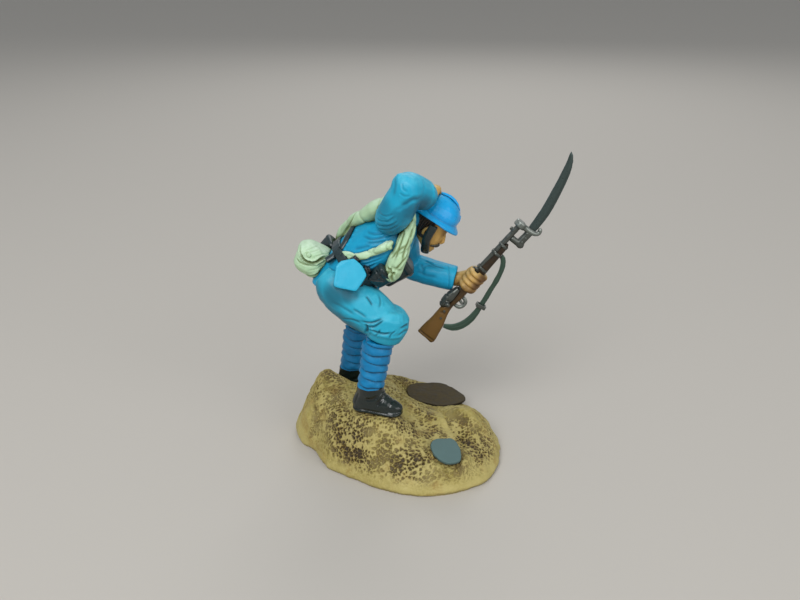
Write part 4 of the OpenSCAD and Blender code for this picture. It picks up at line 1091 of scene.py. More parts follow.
@dataclass
class Puttees:
    """Cloth wound round the shins, each turn lapped over the one below it."""

    turns: float = 5.7
    radius_mm: float = 2.3
    step_mm: float = 0.42
    lap_share: float = 0.12
    wash_share: float = 0.075
    # How dark the painted shade over the whole far leg is.
    far_leg_painted_shade: float = 0.35

    def build(self) -> None:
        """Builds both puttees."""
        for side in ("right", "left"):
            self._wind(side)

    def _wind(self, side: str) -> None:
        """Winds one leg: the skin is set from its axis, turn by turn.

        Args:
            side: Which leg.
        """
        node = f"{side}_puttee"
        puttee = Casting(f"{side}_puttee_cast", [node], grain=0.12, ease=30)
        points = puttee.points
        low, high = points[:, 2].min(), points[:, 2].max()
        foot = points[points[:, 2] < low + 0.8].mean(0)
        top = points[points[:, 2] > high - 1.0].mean(0)
        axis = (top - foot) / np.linalg.norm(top - foot)
        along = (points - foot) @ axis
        length = along.max()
        core = foot + along[:, None] * axis
        out = points - core
        radius = np.linalg.norm(out, axis=1)
        bearing = np.arctan2(out[:, 1], out[:, 0])
        slant = (0.2 * np.cos(bearing - 0.6) + 0.06 * np.sin(3 * bearing + 1.3)
                 + 0.09 * np.sin(along / length * 17 + 2 * bearing))
        turn = along / length * self.turns + slant
        lap = turn - np.floor(turn)
        bulge = np.where(lap < self.lap_share, -0.6 + 10.0 * lap,
                         0.6 - 0.75 * (lap - self.lap_share) ** 2 / 0.77)
        leg = self.radius_mm * (0.9 + 0.2 * along / length - 0.02 * np.sin(math.pi * along / length))
        uneven = np.array([noise.noise(Vector((math.cos(b) * 2, math.sin(b) * 2, a * 1.2)))
                           for a, b in zip(along, bearing)])
        wanted = leg + self.step_mm * (bulge - 0.2) + 0.12 * uneven
        side_face = radius > 0.8 * leg
        share = np.where(side_face, wanted / np.maximum(radius, 0.1), 1.0)
        puttee.points = core + out * share[:, None]
        puttee.write()
        puttee.wash = 0.85 * np.exp(-((np.minimum(lap, 1 - lap) / self.wash_share) ** 2)) * side_face
        # The far leg is darkened all over as painted shade.
        puttee.wash = np.maximum(puttee.wash, self.far_leg_painted_shade * (side == "left"))
        puttee.ease(2).finish(STRONG_BLUE)


# ---- Garments ----------------------------------------------------------------


@dataclass
class Breeches:
    """Full breeches, drawn in below the knee and creased behind it."""

    grain_mm: float = 0.15
    crease_mm: float = 0.2
    depth_mm: float = 0.17

    def build(self) -> None:
        """Builds the breeches."""
        cast = Casting("breeches_cast", ["breeches"], grain=self.grain_mm, ease=22)
        cast.work(self._swellings()).work(self._creases()).dimple(2.4, 0.09, 3)
        # Painted shade under the seat, behind the knee and on the far leg.
        cast.darken(self._shaded())
        cast.finish(LIGHT_BREECHES)

    def _creases(self) -> list[Fold]:
        """Lists the creases, with those behind the knee the deepest.

        Returns:
            The folds.
        """
        w, d = self.crease_mm, -self.depth_mm
        knee = [
            Fold(((-7.4, -7.7, 29.3), (-6.2, -8.0, 28.7), (-5.1, -8.3, 28.0)), w, d * 0.7, 0.4),
            Fold(((-6.2, -8.1, 27.4), (-4.7, -8.4, 27.2), (-3.6, -8.4, 27.5),
                  (-2.6, -8.3, 28.0)), w, d, 0.5),
            Fold(((-5.3, -8.2, 26.7), (-4.2, -8.4, 26.5), (-3.3, -8.5, 27.1),
                  (-2.5, -8.5, 27.8)), w, d, 0.5),
            Fold(((-5.3, -8.2, 27.0), (-5.1, -8.1, 26.0),
                  (-5.3, -7.4, 25.0)), w * 1.2, d * 1.5, 0.5),
            Fold(((-4.8, -8.1, 26.0), (-3.7, -8.4, 25.7), (-2.5, -8.8, 25.5),
                  (-1.2, -8.8, 25.7)), w, d, 0.5),
            Fold(((-3.9, -8.2, 24.8), (-3.3, -8.5, 25.6),
                  (-3.1, -8.6, 26.3)), w * 0.8, d * 0.8, 0.5),
            Fold(((-1.6, -8.8, 24.6), (-1.4, -8.9, 25.3),
                  (-0.6, -8.6, 26.0)), w * 0.8, d * 0.8, 0.5),
            Fold(((0.0, -8.2, 26.2), (0.8, -7.5, 26.3), (1.3, -6.6, 26.1)), w, d, 0.5),
            Fold(((-0.2, -8.5, 24.9), (0.6, -7.6, 25.4), (1.2, -6.4, 25.0)), w, d * 0.8, 0.5)]
        thigh = [
            Fold(((-5.3, -6.8, 31.1), (-4.8, -7.1, 30.5), (-4.2, -7.6, 29.7)), w, d, 0.5),
            Fold(((-3.2, -5.8, 30.9), (-2.9, -6.8, 30.2), (-3.2, -7.6, 29.4)), w, d * 0.6, 0.4),
            Fold(((-10.4, -6.6, 29.9), (-8.6, -7.6, 29.2),
                  (-7.0, -7.9, 28.4)), w * 1.3, d * 0.6, 0.3),
            Fold(((-9.0, -6.2, 27.4), (-7.4, -7.6, 27.4),
                  (-6.1, -8.1, 27.0)), w * 1.2, d * 0.7, 0.3),
            Fold(((-13.8, -3.0, 29.0), (-12.4, -5.2, 28.2),
                  (-10.4, -6.2, 27.8)), w * 1.3, d * 0.7, 0.4)]
        far = [
            Fold(((-7.6, 7.6, 25.4), (-6.4, 8.3, 24.4), (-4.6, 8.2, 24.2)), w, d, 0.5),
            Fold(((-7.9, 7.4, 23.9), (-6.4, 8.4, 23.2), (-4.2, 8.0, 23.4)), w, d, 0.5),
            Fold(((-7.9, 6.8, 22.4), (-6.2, 8.2, 22.0), (-4.0, 7.6, 22.4)), w, d, 0.5),
            Fold(((-11.6, 5.6, 29.6), (-9.6, 7.0, 28.0), (-7.6, 7.6, 26.4)), w * 1.3, d * 0.7, 0.4),
            Fold(((-12.8, 1.6, 29.6), (-11.8, 3.4, 27.4),
                  (-10.2, 4.6, 25.4)), w * 1.3, d * 0.8, 0.4)]
        seat = [Fold(((-14.2, 0.0, 30.6), (-13.6, 0.0, 28.6), (-12.0, 0.0, 27.0)), w, d * 1.1, 0.3)]
        return knee + thigh + far + seat

    def _swellings(self) -> list[Fold]:
        """Lists the puffed parts: over the kneecaps, the thighs and the gathered hems.

        Returns:
            The folds.
        """
        return [
            Fold(((-0.3, -7.9, 28.3), (0.7, -7.0, 27.6)), 1.3, 0.14),
            Fold(((-4.9, -7.8, 25.4), (-3.7, -8.4, 25.1), (-2.2, -8.8, 24.9), (-0.5, -8.2, 24.6),
                  (0.8, -6.8, 24.7)), 0.34, 0.16),
            Fold(((-6.0, -8.0, 28.2), (-4.4, -8.4, 27.8), (-3.0, -8.4, 28.4)), 0.36, 0.12),
            Fold(((-4.9, -8.2, 26.5), (-3.9, -8.4, 26.1), (-2.8, -8.7, 26.5)), 0.3, 0.12),
            Fold(((-9.4, -7.2, 28.4), (-7.6, -7.9, 28.0), (-6.2, -8.1, 27.8)), 0.5, 0.12),
            Fold(((-7.7, 7.3, 24.6), (-6.2, 8.3, 23.8), (-4.4, 8.1, 23.9)), 0.36, 0.14)]

    def _shaded(self) -> list[tuple[Place, float, float]]:
        """Lists the painted shade: under the seat, behind the knee and on the far leg.

        Returns:
            Each spot of painted shade: its middle, its reach in millimetres, and how dark it is.
        """
        return [
            ((-13.0, -4.6, 29.9), 2.6, 0.55), ((-10.2, -6.6, 31.0), 2.2, 0.75),
            ((-8.2, -6.9, 31.3), 1.5, 0.8), ((-7.2, -6.8, 31.1), 0.9, 0.7),
            ((-7.6, -6.4, 26.6), 1.5, 0.55), ((-10.0, 4.6, 25.0), 3.6, 0.85),
            ((-8.0, 5.0, 22.0), 3.4, 0.85), ((-5.6, -5.0, 24.2), 1.0, 0.6),
            ((-11.6, -5.4, 27.8), 2.3, 0.6), ((-9.6, -6.2, 26.8), 2.1, 0.65),
            ((-7.8, -6.2, 25.6), 1.8, 0.7)]


@dataclass
class Tunic:
    """A close tunic strained over the bent back, with a stand collar."""

    grain_mm: float = 0.15
    crease_mm: float = 0.22
    depth_mm: float = 0.11

    def build(self) -> None:
        """Builds the tunic and its collar."""
        cast = Casting("tunic_cast", ["tunic"], grain=self.grain_mm, ease=18)
        near = self._near_side()
        cast.work(self._hem()).work(near + list(mirrored(near)) + self._back()).dimple(2.2, 0.08, 11)
        # Painted shade on four spots: under the raised arm, by the canteen, by the haversack and on
        # the far side of the chest.
        cast.darken([((-1.0, -5.2, 41.2), 1.8, 0.6), ((-5.6, -5.6, 33.4), 1.6, 0.5),
                     ((-12.6, -4.6, 32.8), 1.1, 0.6), ((0.6, 2.0, 34.6), 3.0, 0.6)])
        cast.finish(SKY_TUNIC)
        collar = Casting("collar_cast", ["collar"], grain=0.1, ease=6)
        collar.work([Fold(((3.3, -2.0, 40.4), (2.6, -2.2, 41.4), (1.9, -2.0, 42.2)), 0.12, -0.08)])
        collar.dimple(0.9, 0.06, 4).finish(SKY_TUNIC)

    def _near_side(self) -> list[Fold]:
        """Lists the folds that run from the armpit and past the haversack strap.

        Returns:
            The folds.
        """
        w, d = self.crease_mm, -self.depth_mm
        return [
            Fold(((-5.9, -3.6, 39.8), (-4.3, -4.9, 39.7), (-2.4, -5.3, 40.2),
                  (-0.9, -4.8, 40.8)), w, d, 0.6),
            Fold(((-5.2, -3.4, 40.5), (-4.0, -4.6, 40.5), (-2.1, -5.1, 40.8)), w, d * 0.8, 0.6),
            Fold(((-5.2, -4.7, 39.0), (-3.7, -5.2, 39.3),
                  (-1.8, -5.5, 39.7)), w * 1.3, d * 0.8, 0.6),
            Fold(((-7.1, -4.4, 37.9), (-5.8, -4.8, 38.3),
                  (-4.3, -5.2, 38.9)), w * 1.2, d * 0.7, 0.6),
            Fold(((-6.2, -5.3, 36.1), (-4.6, -5.5, 36.7), (-3.1, -5.7, 37.3),
                  (-1.8, -5.7, 37.9)), w, d, 0.7),
            Fold(((-6.2, -5.3, 35.6), (-4.9, -5.5, 36.0), (-3.5, -5.6, 36.6),
                  (-2.3, -5.7, 37.3)), w * 0.8, d * 0.8, 0.7),
            Fold(((-5.9, -5.3, 35.1), (-4.6, -5.4, 35.4), (-3.7, -5.6, 36.0)), w * 0.8, d, 0.7),
            Fold(((-5.9, -5.5, 32.4), (-5.2, -5.9, 31.4), (-4.8, -6.0, 30.4)), w, d * 1.2, 0.6),
            Fold(((-4.4, -4.9, 31.9), (-3.8, -5.4, 31.1), (-3.2, -5.2, 30.4)), w, d * 1.2, 0.6)]

    def _hem(self) -> list[Fold]:
        """Lists the skirt's scalloped edge and the piped edge beside the back strap.

        Returns:
            The folds.
        """
        piping = [(-7.1, -1.2, 40.2), (-7.5, -1.9, 39.5), (-7.9, -2.5, 38.8), (-8.3, -3.0, 38.1),
                  (-8.6, -3.3, 37.4)]
        beads = [Fold((p,), 0.26, 0.17) for p in piping]
        skirt = [Fold(((-14.0, -1.5, 31.4), (-12.7, -4.9, 31.9), (-11.0, -5.9, 32.0)), 0.3, 0.16),
                 Fold(((-5.9, -5.9, 31.6), (-4.4, -5.9, 30.9), (-2.6, -4.6, 30.1)), 0.3, 0.14)]
        return beads + skirt + list(mirrored(skirt))

    def _back(self) -> list[Fold]:
        """Lists the centre seam and the folds over the shoulder blades.

        Returns:
            The folds.
        """
        w, d = self.crease_mm, -self.depth_mm
        return [
            Fold(((-12.2, 0.0, 35.4), (-9.6, 0.0, 38.0), (-6.4, 0.0, 41.0),
                  (-2.6, 0.0, 43.2)), w * 0.6, d * 0.7, 0.3),
            Fold(((-8.4, 2.0, 39.0), (-6.0, 3.4, 40.6), (-3.4, 4.0, 41.8)), w * 1.6, d * 0.8, 0.5),
            Fold(((-9.6, 2.6, 37.2), (-7.6, 4.2, 38.2), (-5.0, 5.0, 39.2)), w * 1.4, d * 0.7, 0.5),
            Fold(((-10.4, 3.0, 35.6), (-8.6, 4.8, 36.2), (-6.0, 5.4, 36.8)), w * 1.3, d * 0.7, 0.5)]


@dataclass
class Sleeves:
    """The raised right sleeve with its squared elbow, and the left one held out."""

    grain_mm: float = 0.13
    crease_mm: float = 0.17
    depth_mm: float = 0.14

    def build(self) -> None:
        """Builds both sleeves."""
        right = Casting("right_sleeve_cast", ["right_sleeve"], grain=self.grain_mm, ease=26)
        right.work(self._right_swellings()).work(self._right_creases()).dimple(2.2, 0.07, 7)
        # Painted shade along the lower side of the raised sleeve.
        right.darken([((-1.4, -7.6, 42.2), 2.1, 0.6), ((-2.4, -7.6, 45.2), 1.9, 0.45),
                      ((-0.2, -8.8, 44.4), 1.7, 0.5), ((1.2, -8.6, 45.3), 1.5, 0.65),
                      ((3.0, -7.2, 45.5), 2.2, 0.9), ((4.4, -4.6, 45.0), 1.4, 0.8)])
        right.finish(LIT_RIGHT_SLEEVE)
        left = Casting("left_sleeve_cast", ["left_sleeve"], grain=self.grain_mm, ease=14)
        left.work(self._left_swellings()).work(self._left_creases()).dimple(2.0, 0.07, 9)
        # Painted shade on the left upper arm.
        left.darken([((1.4, 5.4, 33.8), 2.0, 0.9), ((0.4, 4.6, 36.6), 2.6, 0.85)])
        left.finish(LIT_LEFT_SLEEVE)

    def _right_creases(self) -> list[Fold]:
        """Lists the rings of folds at the shoulder seam and the creases at the elbow.

        Returns:
            The folds.
        """
        w, d = self.crease_mm, -self.depth_mm
        rings = [
            Fold(((-3.4, -6.2, 43.5), (-3.0, -7.2, 43.4), (-1.8, -8.2, 43.6),
                  (-0.6, -8.9, 44.6)), w, d * 0.7, 0.5),
            Fold(((-3.3, -5.8, 42.6), (-3.0, -6.8, 42.5), (-1.6, -8.0, 42.9),
                  (-0.3, -8.7, 44.0)), w, d * 0.8, 0.5),
            Fold(((-3.3, -6.6, 44.6), (-2.1, -8.3, 44.4), (-0.9, -8.9, 45.0)), w, d * 0.6, 0.5),
            Fold(((-3.0, -5.8, 41.9), (-2.8, -6.5, 41.8), (-1.3, -7.8, 42.2),
                  (0.1, -8.5, 43.4)), w, d * 0.7, 0.5),
            Fold(((-2.0, -5.8, 41.3), (-1.0, -7.2, 41.4), (0.4, -8.0, 42.6)), w, d * 0.9, 0.5)]
        elbow = [
            Fold(((0.3, -9.1, 49.8), (0.4, -9.4, 49.0), (1.0, -9.5, 48.5)), w, d * 0.35, 0.9),
            Fold(((-0.2, -9.4, 48.4), (0.6, -9.5, 47.9), (1.5, -9.4, 47.9)), w, d * 0.4, 0.7),
            Fold(((0.0, -9.3, 46.4), (1.0, -9.4, 46.8), (2.0, -9.3, 47.3),
                  (3.5, -7.7, 47.0)), w * 2.2, d * 0.9, 0.3),
            Fold(((-0.6, -9.1, 45.5), (0.3, -9.3, 46.1), (1.4, -9.2, 46.5)), w * 1.6, d * 0.5, 0.4),
            Fold(((-0.5, -7.4, 50.3), (-0.7, -8.6, 49.2), (-1.2, -8.9, 47.6)), w * 2.2, d * 0.5)]
        far = [
            Fold(((-3.4, -5.4, 45.0), (-2.9, -4.6, 44.2), (-1.4, -4.0, 44.0)), w, d, 0.6),
            Fold(((-0.2, -5.4, 48.8), (0.8, -5.2, 47.8), (2.0, -5.0, 47.2)), w, d, 0.6),
            Fold(((2.2, -6.2, 50.0), (2.9, -5.4, 49.6), (3.6, -4.4, 48.8)), w * 1.4, d * 0.6, 0.5)]
        return rings + elbow + far

    def _right_swellings(self) -> list[Fold]:
        """Lists the stuffed look of the forearm, the elbow's corner and the cuff's edge.

        Returns:
            The folds.
        """
        return [
            Fold(((-0.4, -7.4, 49.9), (0.3, -7.8, 50.2)), 0.75, 0.28),
            Fold(((0.8, -9.0, 49.0), (2.2, -8.4, 49.0), (3.4, -7.2, 48.4)), 1.1, 0.16),
            Fold(((-2.5, -7.6, 43.1), (-1.2, -8.4, 43.4), (-0.3, -8.8, 44.3)), 0.24, 0.1),
            Fold(((4.6, -4.6, 48.4), (5.0, -5.4, 47.4), (4.8, -5.4, 45.9)), 0.4, 0.14)]

    def _left_creases(self) -> list[Fold]:
        """Lists the creases from the elbow along the forearm, and the line of the cuff.

        Returns:
            The folds.
        """
        w, d = self.crease_mm, -self.depth_mm
        return [
            Fold(((4.0, 5.3, 32.2), (5.5, 4.5, 31.8), (6.7, 4.2, 31.5),
                  (7.7, 4.0, 31.3)), w, d * 0.8, 0.9),
            Fold(((3.7, 4.2, 31.4), (5.0, 4.3, 31.7), (6.4, 4.0, 31.3)), w * 1.4, d * 0.5, 0.5),
            Fold(((2.7, 4.2, 31.0), (4.4, 3.8, 30.3), (6.3, 3.3, 30.1)), w * 2.0, d * 0.55, 0.4),
            Fold(((3.4, 4.7, 32.0), (3.9, 4.0, 31.1), (3.5, 3.9, 30.3)), w * 1.8, d * 0.5, 0.5),
            Fold(((8.0, 5.0, 31.4), (8.2, 3.6, 30.6), (8.2, 3.1, 29.2),
                  (8.2, 3.6, 27.8)), w * 0.9, d * 0.45, 0.4),
            Fold(((2.0, 8.8, 31.6), (3.4, 8.9, 30.8), (5.0, 8.4, 30.4)), w * 1.2, d, 0.5),
            Fold(((0.6, 8.9, 32.8), (1.8, 9.0, 31.6), (3.4, 8.8, 29.4)), w * 1.2, d, 0.5),
            Fold(((0.2, 8.2, 35.6), (1.0, 8.8, 34.4), (2.4, 8.8, 33.4)), w * 1.4, d * 0.8, 0.5)]

    def _left_swellings(self) -> list[Fold]:
        """Lists the fullness over the elbow and the cuff's edge.

        Returns:
            The folds.
        """
        return [
            Fold(((4.4, 4.9, 32.2), (6.0, 4.5, 32.0)), 0.6, 0.12),
            Fold(((9.0, 5.4, 31.3), (9.2, 3.6, 30.6), (9.2, 2.9, 29.2),
                  (9.1, 3.4, 27.6)), 0.3, 0.12),
            Fold(((5.2, 3.4, 29.4), (7.2, 3.2, 29.0)), 0.8, 0.1)]


# ---- Hands and head ---------------------------------------------------------

@dataclass(frozen=True)
class OwnFrame:
    """The frame of a part that leans: forward, left and up, in millimetres from its middle."""

    middle: Place
    pitch: float
    yaw: float = 0.0

    def way(self, forward: float, left: float, up: float) -> Vector:
        """Turns a direction from the part's frame to the figure's.

        Args:
            forward: Its share along the part's X.
            left: Its share along the part's Y.
            up: Its share along the part's Z.

        Returns:
            The direction, as long as it was.
        """
        turn = (Matrix.Rotation(math.radians(self.yaw), 4, "Z")
                @ Matrix.Rotation(math.radians(self.pitch), 4, "Y"))
        return turn @ Vector((forward, left, up))

    def at(self, forward: float, left: float, up: float) -> Place:
        """Finds a place of the part in the figure's frame."""
        return tuple(self.way(forward, left, up) + Vector(self.middle))

    def fold(
        self, places: Sequence[Place], width: float, rise: float, lip: float = 0.0
    ) -> Fold:
        """Makes a fold whose line is given in the part's frame.

        Args:
            places: The line's places.
            width: The fold's width.
            rise: How far it stands out, or sinks where it is below 0.
            lip: How far its sides stand up, as a share of the rise.

        Returns:
            The fold.
        """
        return Fold(tuple(self.at(*p) for p in places), width, rise, lip)


HEAD = OwnFrame((4.62, 0.0, 40.31), 34.5)
# The rifle's frame starts in the left fist and runs forward to the muzzle.
RIFLE = OwnFrame((11.80, 3.2, 29.51), -50.7, -1.4)
MUZZLE_MM = 12.125
BUTT_MM = -12.875
BORE_LEVEL_MM = 0.3


@dataclass
class Hands:
    """The left fist closed round the rifle, and the right hand flat on the helmet."""

    grain_mm: float = 0.1
    finger_mm: tuple[float, ...] = (0.42, 0.48, 0.51, 0.46, 0.36)
    pitch_mm: float = 0.9
    gap_mm: float = 0.12

    def build(self) -> None:
        """Builds both hands."""
        self._left()
        self._right()

    def _left(self) -> None:
        """Builds the fist: the fingers come up over the rifle's near side and close on top."""
        fingers = []
        gaps = []
        for k in range(4):
            x = -1.0 + self.pitch_mm * k
            knuckles = [RIFLE.at(x, -0.7, -1.3), RIFLE.at(x - 0.1, -1.35, -0.75),
                        RIFLE.at(x - 0.15, -1.5, 0.1), RIFLE.at(x - 0.1, -1.2, 0.95),
                        RIFLE.at(x, -0.35, 1.3)]
            swell = 1 + 0.06 * math.sin(2.3 * k + 0.5)
            fingers.append(beaded(knuckles, [swell * r for r in self.finger_mm]))
            if k:
                gaps.append(RIFLE.fold([(x - 0.45, -1.0, -1.6), (x - 0.5, -1.9, -0.6),
                                        (x - 0.55, -2.0, 0.3), (x - 0.5, -1.4, 1.5)],
                                       self.gap_mm, -0.11))
            gaps.append(RIFLE.fold([(x - 0.45, -1.95, 0.45), (x, -2.0, 0.5),
                                    (x + 0.3, -1.95, 0.45)], 0.16, 0.08))
        fist = Casting("left_hand_cast", ["left_hand"], grain=self.grain_mm, ease=7, added=fingers)
        wrist = [Fold(((9.6, 3.6, 28.4), (10.3, 3.0, 29.2), (10.7, 3.0, 30.2)), 0.2, -0.1, 0.4),
                 RIFLE.fold([(-1.2, -0.4, 1.7), (0.2, -0.2, 1.9), (1.4, 0.2, 1.9)], 0.2, -0.1, 0.4)]
        fist.work(gaps + wrist).dimple(1.2, 0.05, 3)
        # Painted shade on the fist's lower, near side and towards the wrist.
        dark = [(RIFLE.at(-1.6, -1.6, -0.9), 1.3, 0.9), (RIFLE.at(0.2, -1.8, -1.2), 1.3, 0.92),
                (RIFLE.at(1.8, -1.7, -1.0), 1.2, 0.92), (RIFLE.at(-2.0, -0.6, 0.4), 1.5, 0.85),
                (RIFLE.at(-1.2, -1.9, 0.2), 0.8, 0.6)]
        fist.darken(dark).finish(TAN_SKIN)

    def _right(self) -> None:
        """Builds the flat hand, with creases between the fingers and across the joints."""
        hand = Casting("right_hand_cast", ["right_hand"], grain=self.grain_mm, ease=5)
        folds = []
        for k in range(3):
            x = -3.44 + 0.62 * k
            folds.append(HEAD.fold([(x, -0.4, 6.0), (x + 0.04, 0.9, 5.9), (x + 0.12, 1.9, 5.4),
                                    (x + 0.2, 2.7, 4.6)], self.gap_mm, -0.16))
        for k in range(4):
            x = -3.75 + 0.62 * k
            folds.append(HEAD.fold([(x - 0.2, 1.2, 5.9), (x + 0.25, 1.2, 5.9)], 0.18, 0.09))
        hand.work(folds).dimple(1.2, 0.05, 4).finish(TAN_SKIN)


@dataclass
class Head:
    """A calm, plain head: lidded eyes, nostrils, lips, ears, cropped hair and moustache."""

    grain_mm: float = 0.09
    eye_side_mm: float = 0.98
    eye_level_mm: float = 0.12
    line_mm: float = 0.09
    strand_mm: float = 0.1

    def build(self) -> None:
        """Builds the head, the hair and the moustache."""
        head = Casting("head_cast", ["head"], grain=self.grain_mm, ease=7)
        head.work(self._sockets()).work(self._lines()).dimple(1.6, 0.04, 5)
        # Painted shade under the brim across the eyes, and under the chin.
        under_brim = [(HEAD.at(2.3, side * 1.3, 0.9), 1.0, 0.55) for side in (-1, 1)]
        head.darken(under_brim + [(HEAD.at(1.6, 0, -3.3), 1.1, 0.35)]).finish(TAN_SKIN)
        hair = Casting("hair_cast", ["hair"], grain=self.grain_mm, ease=4)
        hair.work(self._strands()).dimple(0.7, 0.06, 3).finish(DARK_HAIR)
        lip = Casting("moustache_cast", ["moustache"], grain=0.07, ease=3)
        lip.work(self._bristles()).dimple(0.5, 0.04, 2).finish(BROWN_HAIR)

    def _sockets(self) -> list[Fold]:
        """Lists the hollows of the eyes and ears, and the fullness of lids and cheeks.

        Returns:
            The folds.
        """
        y, z = self.eye_side_mm, self.eye_level_mm
        folds = []
        for side in (-1, 1):
            folds += [
                HEAD.fold([(2.5, side * y, z)], 0.42, -0.2),
                HEAD.fold([(2.4, side * (y - 0.25), z), (2.3, side * (y + 0.25), z)], 0.22, 0.16),
                HEAD.fold([(2.2, side * 1.3, -1.0), (1.7, side * 1.8, -1.2)], 0.6, 0.1),
                HEAD.fold([(-0.2, side * 2.8, -0.3), (-0.15, side * 2.75, -0.7)], 0.3, -0.26)]
        return folds + [HEAD.fold([(2.6, -0.7, -2.75), (2.8, 0, -2.8), (2.6, 0.7, -2.75)], 0.2, 0.1)]

    def _lines(self) -> list[Fold]:
        """Lists the lines of the lids, nostrils, mouth, and the rims of the ears.

        Returns:
            The folds.
        """
        y, z, w = self.eye_side_mm, self.eye_level_mm, self.line_mm
        folds = [HEAD.fold([(2.4, -0.85, -2.5), (2.8, 0, -2.52), (2.4, 0.85, -2.5)], w, -0.12)]
        for side in (-1, 1):
            folds += [
                HEAD.fold([(2.5, side * (y - 0.4), z - 0.02), (2.5, side * y, z + 0.14),
                           (2.2, side * (y + 0.42), z)], w, -0.1, 0.5),
                HEAD.fold([(2.5, side * (y - 0.36), z - 0.06), (2.5, side * y, z - 0.18),
                           (2.2, side * (y + 0.4), z - 0.04)], w, -0.07),
                HEAD.fold([(3.25, side * 0.26, -1.62)], 0.1, -0.14),
                HEAD.fold([(3.1, side * 0.42, -1.0), (3.0, side * 0.52, -1.35),
                           (2.9, side * 0.45, -1.65)], 0.1, -0.08),
                HEAD.fold([(0.2, side * 2.7, 0.2), (-0.3, side * 2.95, 0.45),
                           (-0.75, side * 2.9, 0.0), (-0.7, side * 2.85, -0.7),
                           (-0.3, side * 2.8, -1.2)], 0.13, 0.1)]
        return folds

    def _strands(self) -> list[Fold]:
        """Lists the combed grooves down both sides and across the nape.

        Returns:
            The folds.
        """
        folds = []
        for side in (-1, 1):
            for k in range(9):
                x = 0.4 - 0.42 * k
                y = 2.6 * math.sqrt(max(0.05, 1 - (x / 3.6) ** 2)) * side
                folds.append(HEAD.fold([(x, y, 1.5), (x - 0.15, y, 0.5), (x - 0.1, y * 0.96, -0.4),
                                        (x, y * 0.9, -1.3)], self.strand_mm, -0.1, 0.6))
        return folds

    def _bristles(self) -> list[Fold]:
        """Lists the grooves that run outwards and down through the moustache.

        Returns:
            The folds.
        """
        folds = []
        for side in (-1, 1):
            for k in range(5):
                y = 0.2 + 0.32 * k
                folds.append(HEAD.fold([(3.2 - 0.22 * k, side * y, -1.55 - 0.07 * k),
                                        (3.1 - 0.22 * k, side * (y + 0.2), -2.2 - 0.08 * k)],
                                       0.07, -0.09, 0.6))
        return folds


@dataclass
class Helmet:
    """The steel helmet: a bowl with a flared brim, a low comb, a plain boss and its strap."""

    grain_mm: float = 0.12
    half_length_mm: float = 3.55
    half_width_mm: float = 3.2
    brim_level_mm: float = 1.85
    brim_mm: float = 0.95
    seam_mm: float = 0.14
    strap_spread: float = 3.2
    strap_back_mm: float = 0.75
    strap_line: tuple[Place, ...] = (
        (0.7, 2.6, 1.3), (0.85, 2.5, 0.0), (1.1, 2.15, -1.4), (1.45, 1.55, -2.7),
        (1.75, 0.8, -3.55), (1.9, 0.0, -3.85))

    def build(self) -> None:
        """Builds the bowl, the comb, the boss and the chin strap."""
        bowl = Casting("helmet_cast", ["helmet"], grain=self.grain_mm, ease=7)
        bowl.work([self._round(0.55, 0.0, -0.09, self.seam_mm),
                   self._round(0.0, 0.9, 0.1, 0.2)]).dimple(1.9, 0.07, 4).finish(HELMET_BLUE)
        plain_casting("helmet_comb", HELMET_BLUE, 0.09, 6, (0.9, 0.05, 3))
        plain_casting("helmet_boss", HELMET_BLUE, 0.08, 4, (0.8, 0.05, 5))
        strap = Casting("chin_strap_cast", ["chin_strap"], grain=0.09, ease=5)
        self._spread(strap)
        strap.dimple(1.0, 0.05, 6).finish(LEATHER_SLATE)

    def _round(self, rise_mm: float, reach: float, rise: float, width: float) -> Fold:
        """Runs a line round the helmet.

        Args:
            rise_mm: The line's height over the brim.
            reach: How far out along the brim it runs, from 0 to 1.
            rise: How far the line stands out, or sinks where it is below 0.
            width: The line's width in millimetres.

        Returns:
            The line as a fold.
        """
        places = []
        for k in range(33):
            c, s = math.cos(math.tau * k / 32), math.sin(math.tau * k / 32)
            places.append((c * (self.half_length_mm + reach * self.brim_mm),
                           s * (self.half_width_mm + 0.6 * reach * self.brim_mm),
                           self.brim_level_mm + rise_mm - 0.5 * reach * c * c))
        return HEAD.fold(places, width, rise)

    def _spread(self, strap: Casting) -> None:
        """Spreads the strap flat against the cheeks, wider than it was cast.

        Args:
            strap: The strap, which is changed.
        """
        half = [HEAD.at(*p) for p in self.strap_line]
        line = curve_through(half + [HEAD.at(x, -y, z) for x, y, z in self.strap_line[-2::-1]], 8)
        across = np.array(HEAD.way(1, 0, 0.35).normalized())
        nearest = np.array([line[np.argmin(np.linalg.norm(line - p, axis=1))]
                            for p in strap.points])
        share = (strap.points - nearest) @ across
        strap.points = strap.points + (self.strap_spread - 1) * share[:, None] * across
        up = np.array(HEAD.way(0, 0, 1))
        level = (strap.points - np.array(HEAD.middle)) @ up
        slack = np.clip((level + 3.7) / 2.6, 0, 1) ** 0.8
        strap.points = strap.points - self.strap_back_mm * slack[:, None] * across
        strap.points[:, 1] += 0.3 * slack * np.sign(strap.points[:, 1])
        strap.write()


# ---- Kit ---------------------------------------------------------------------


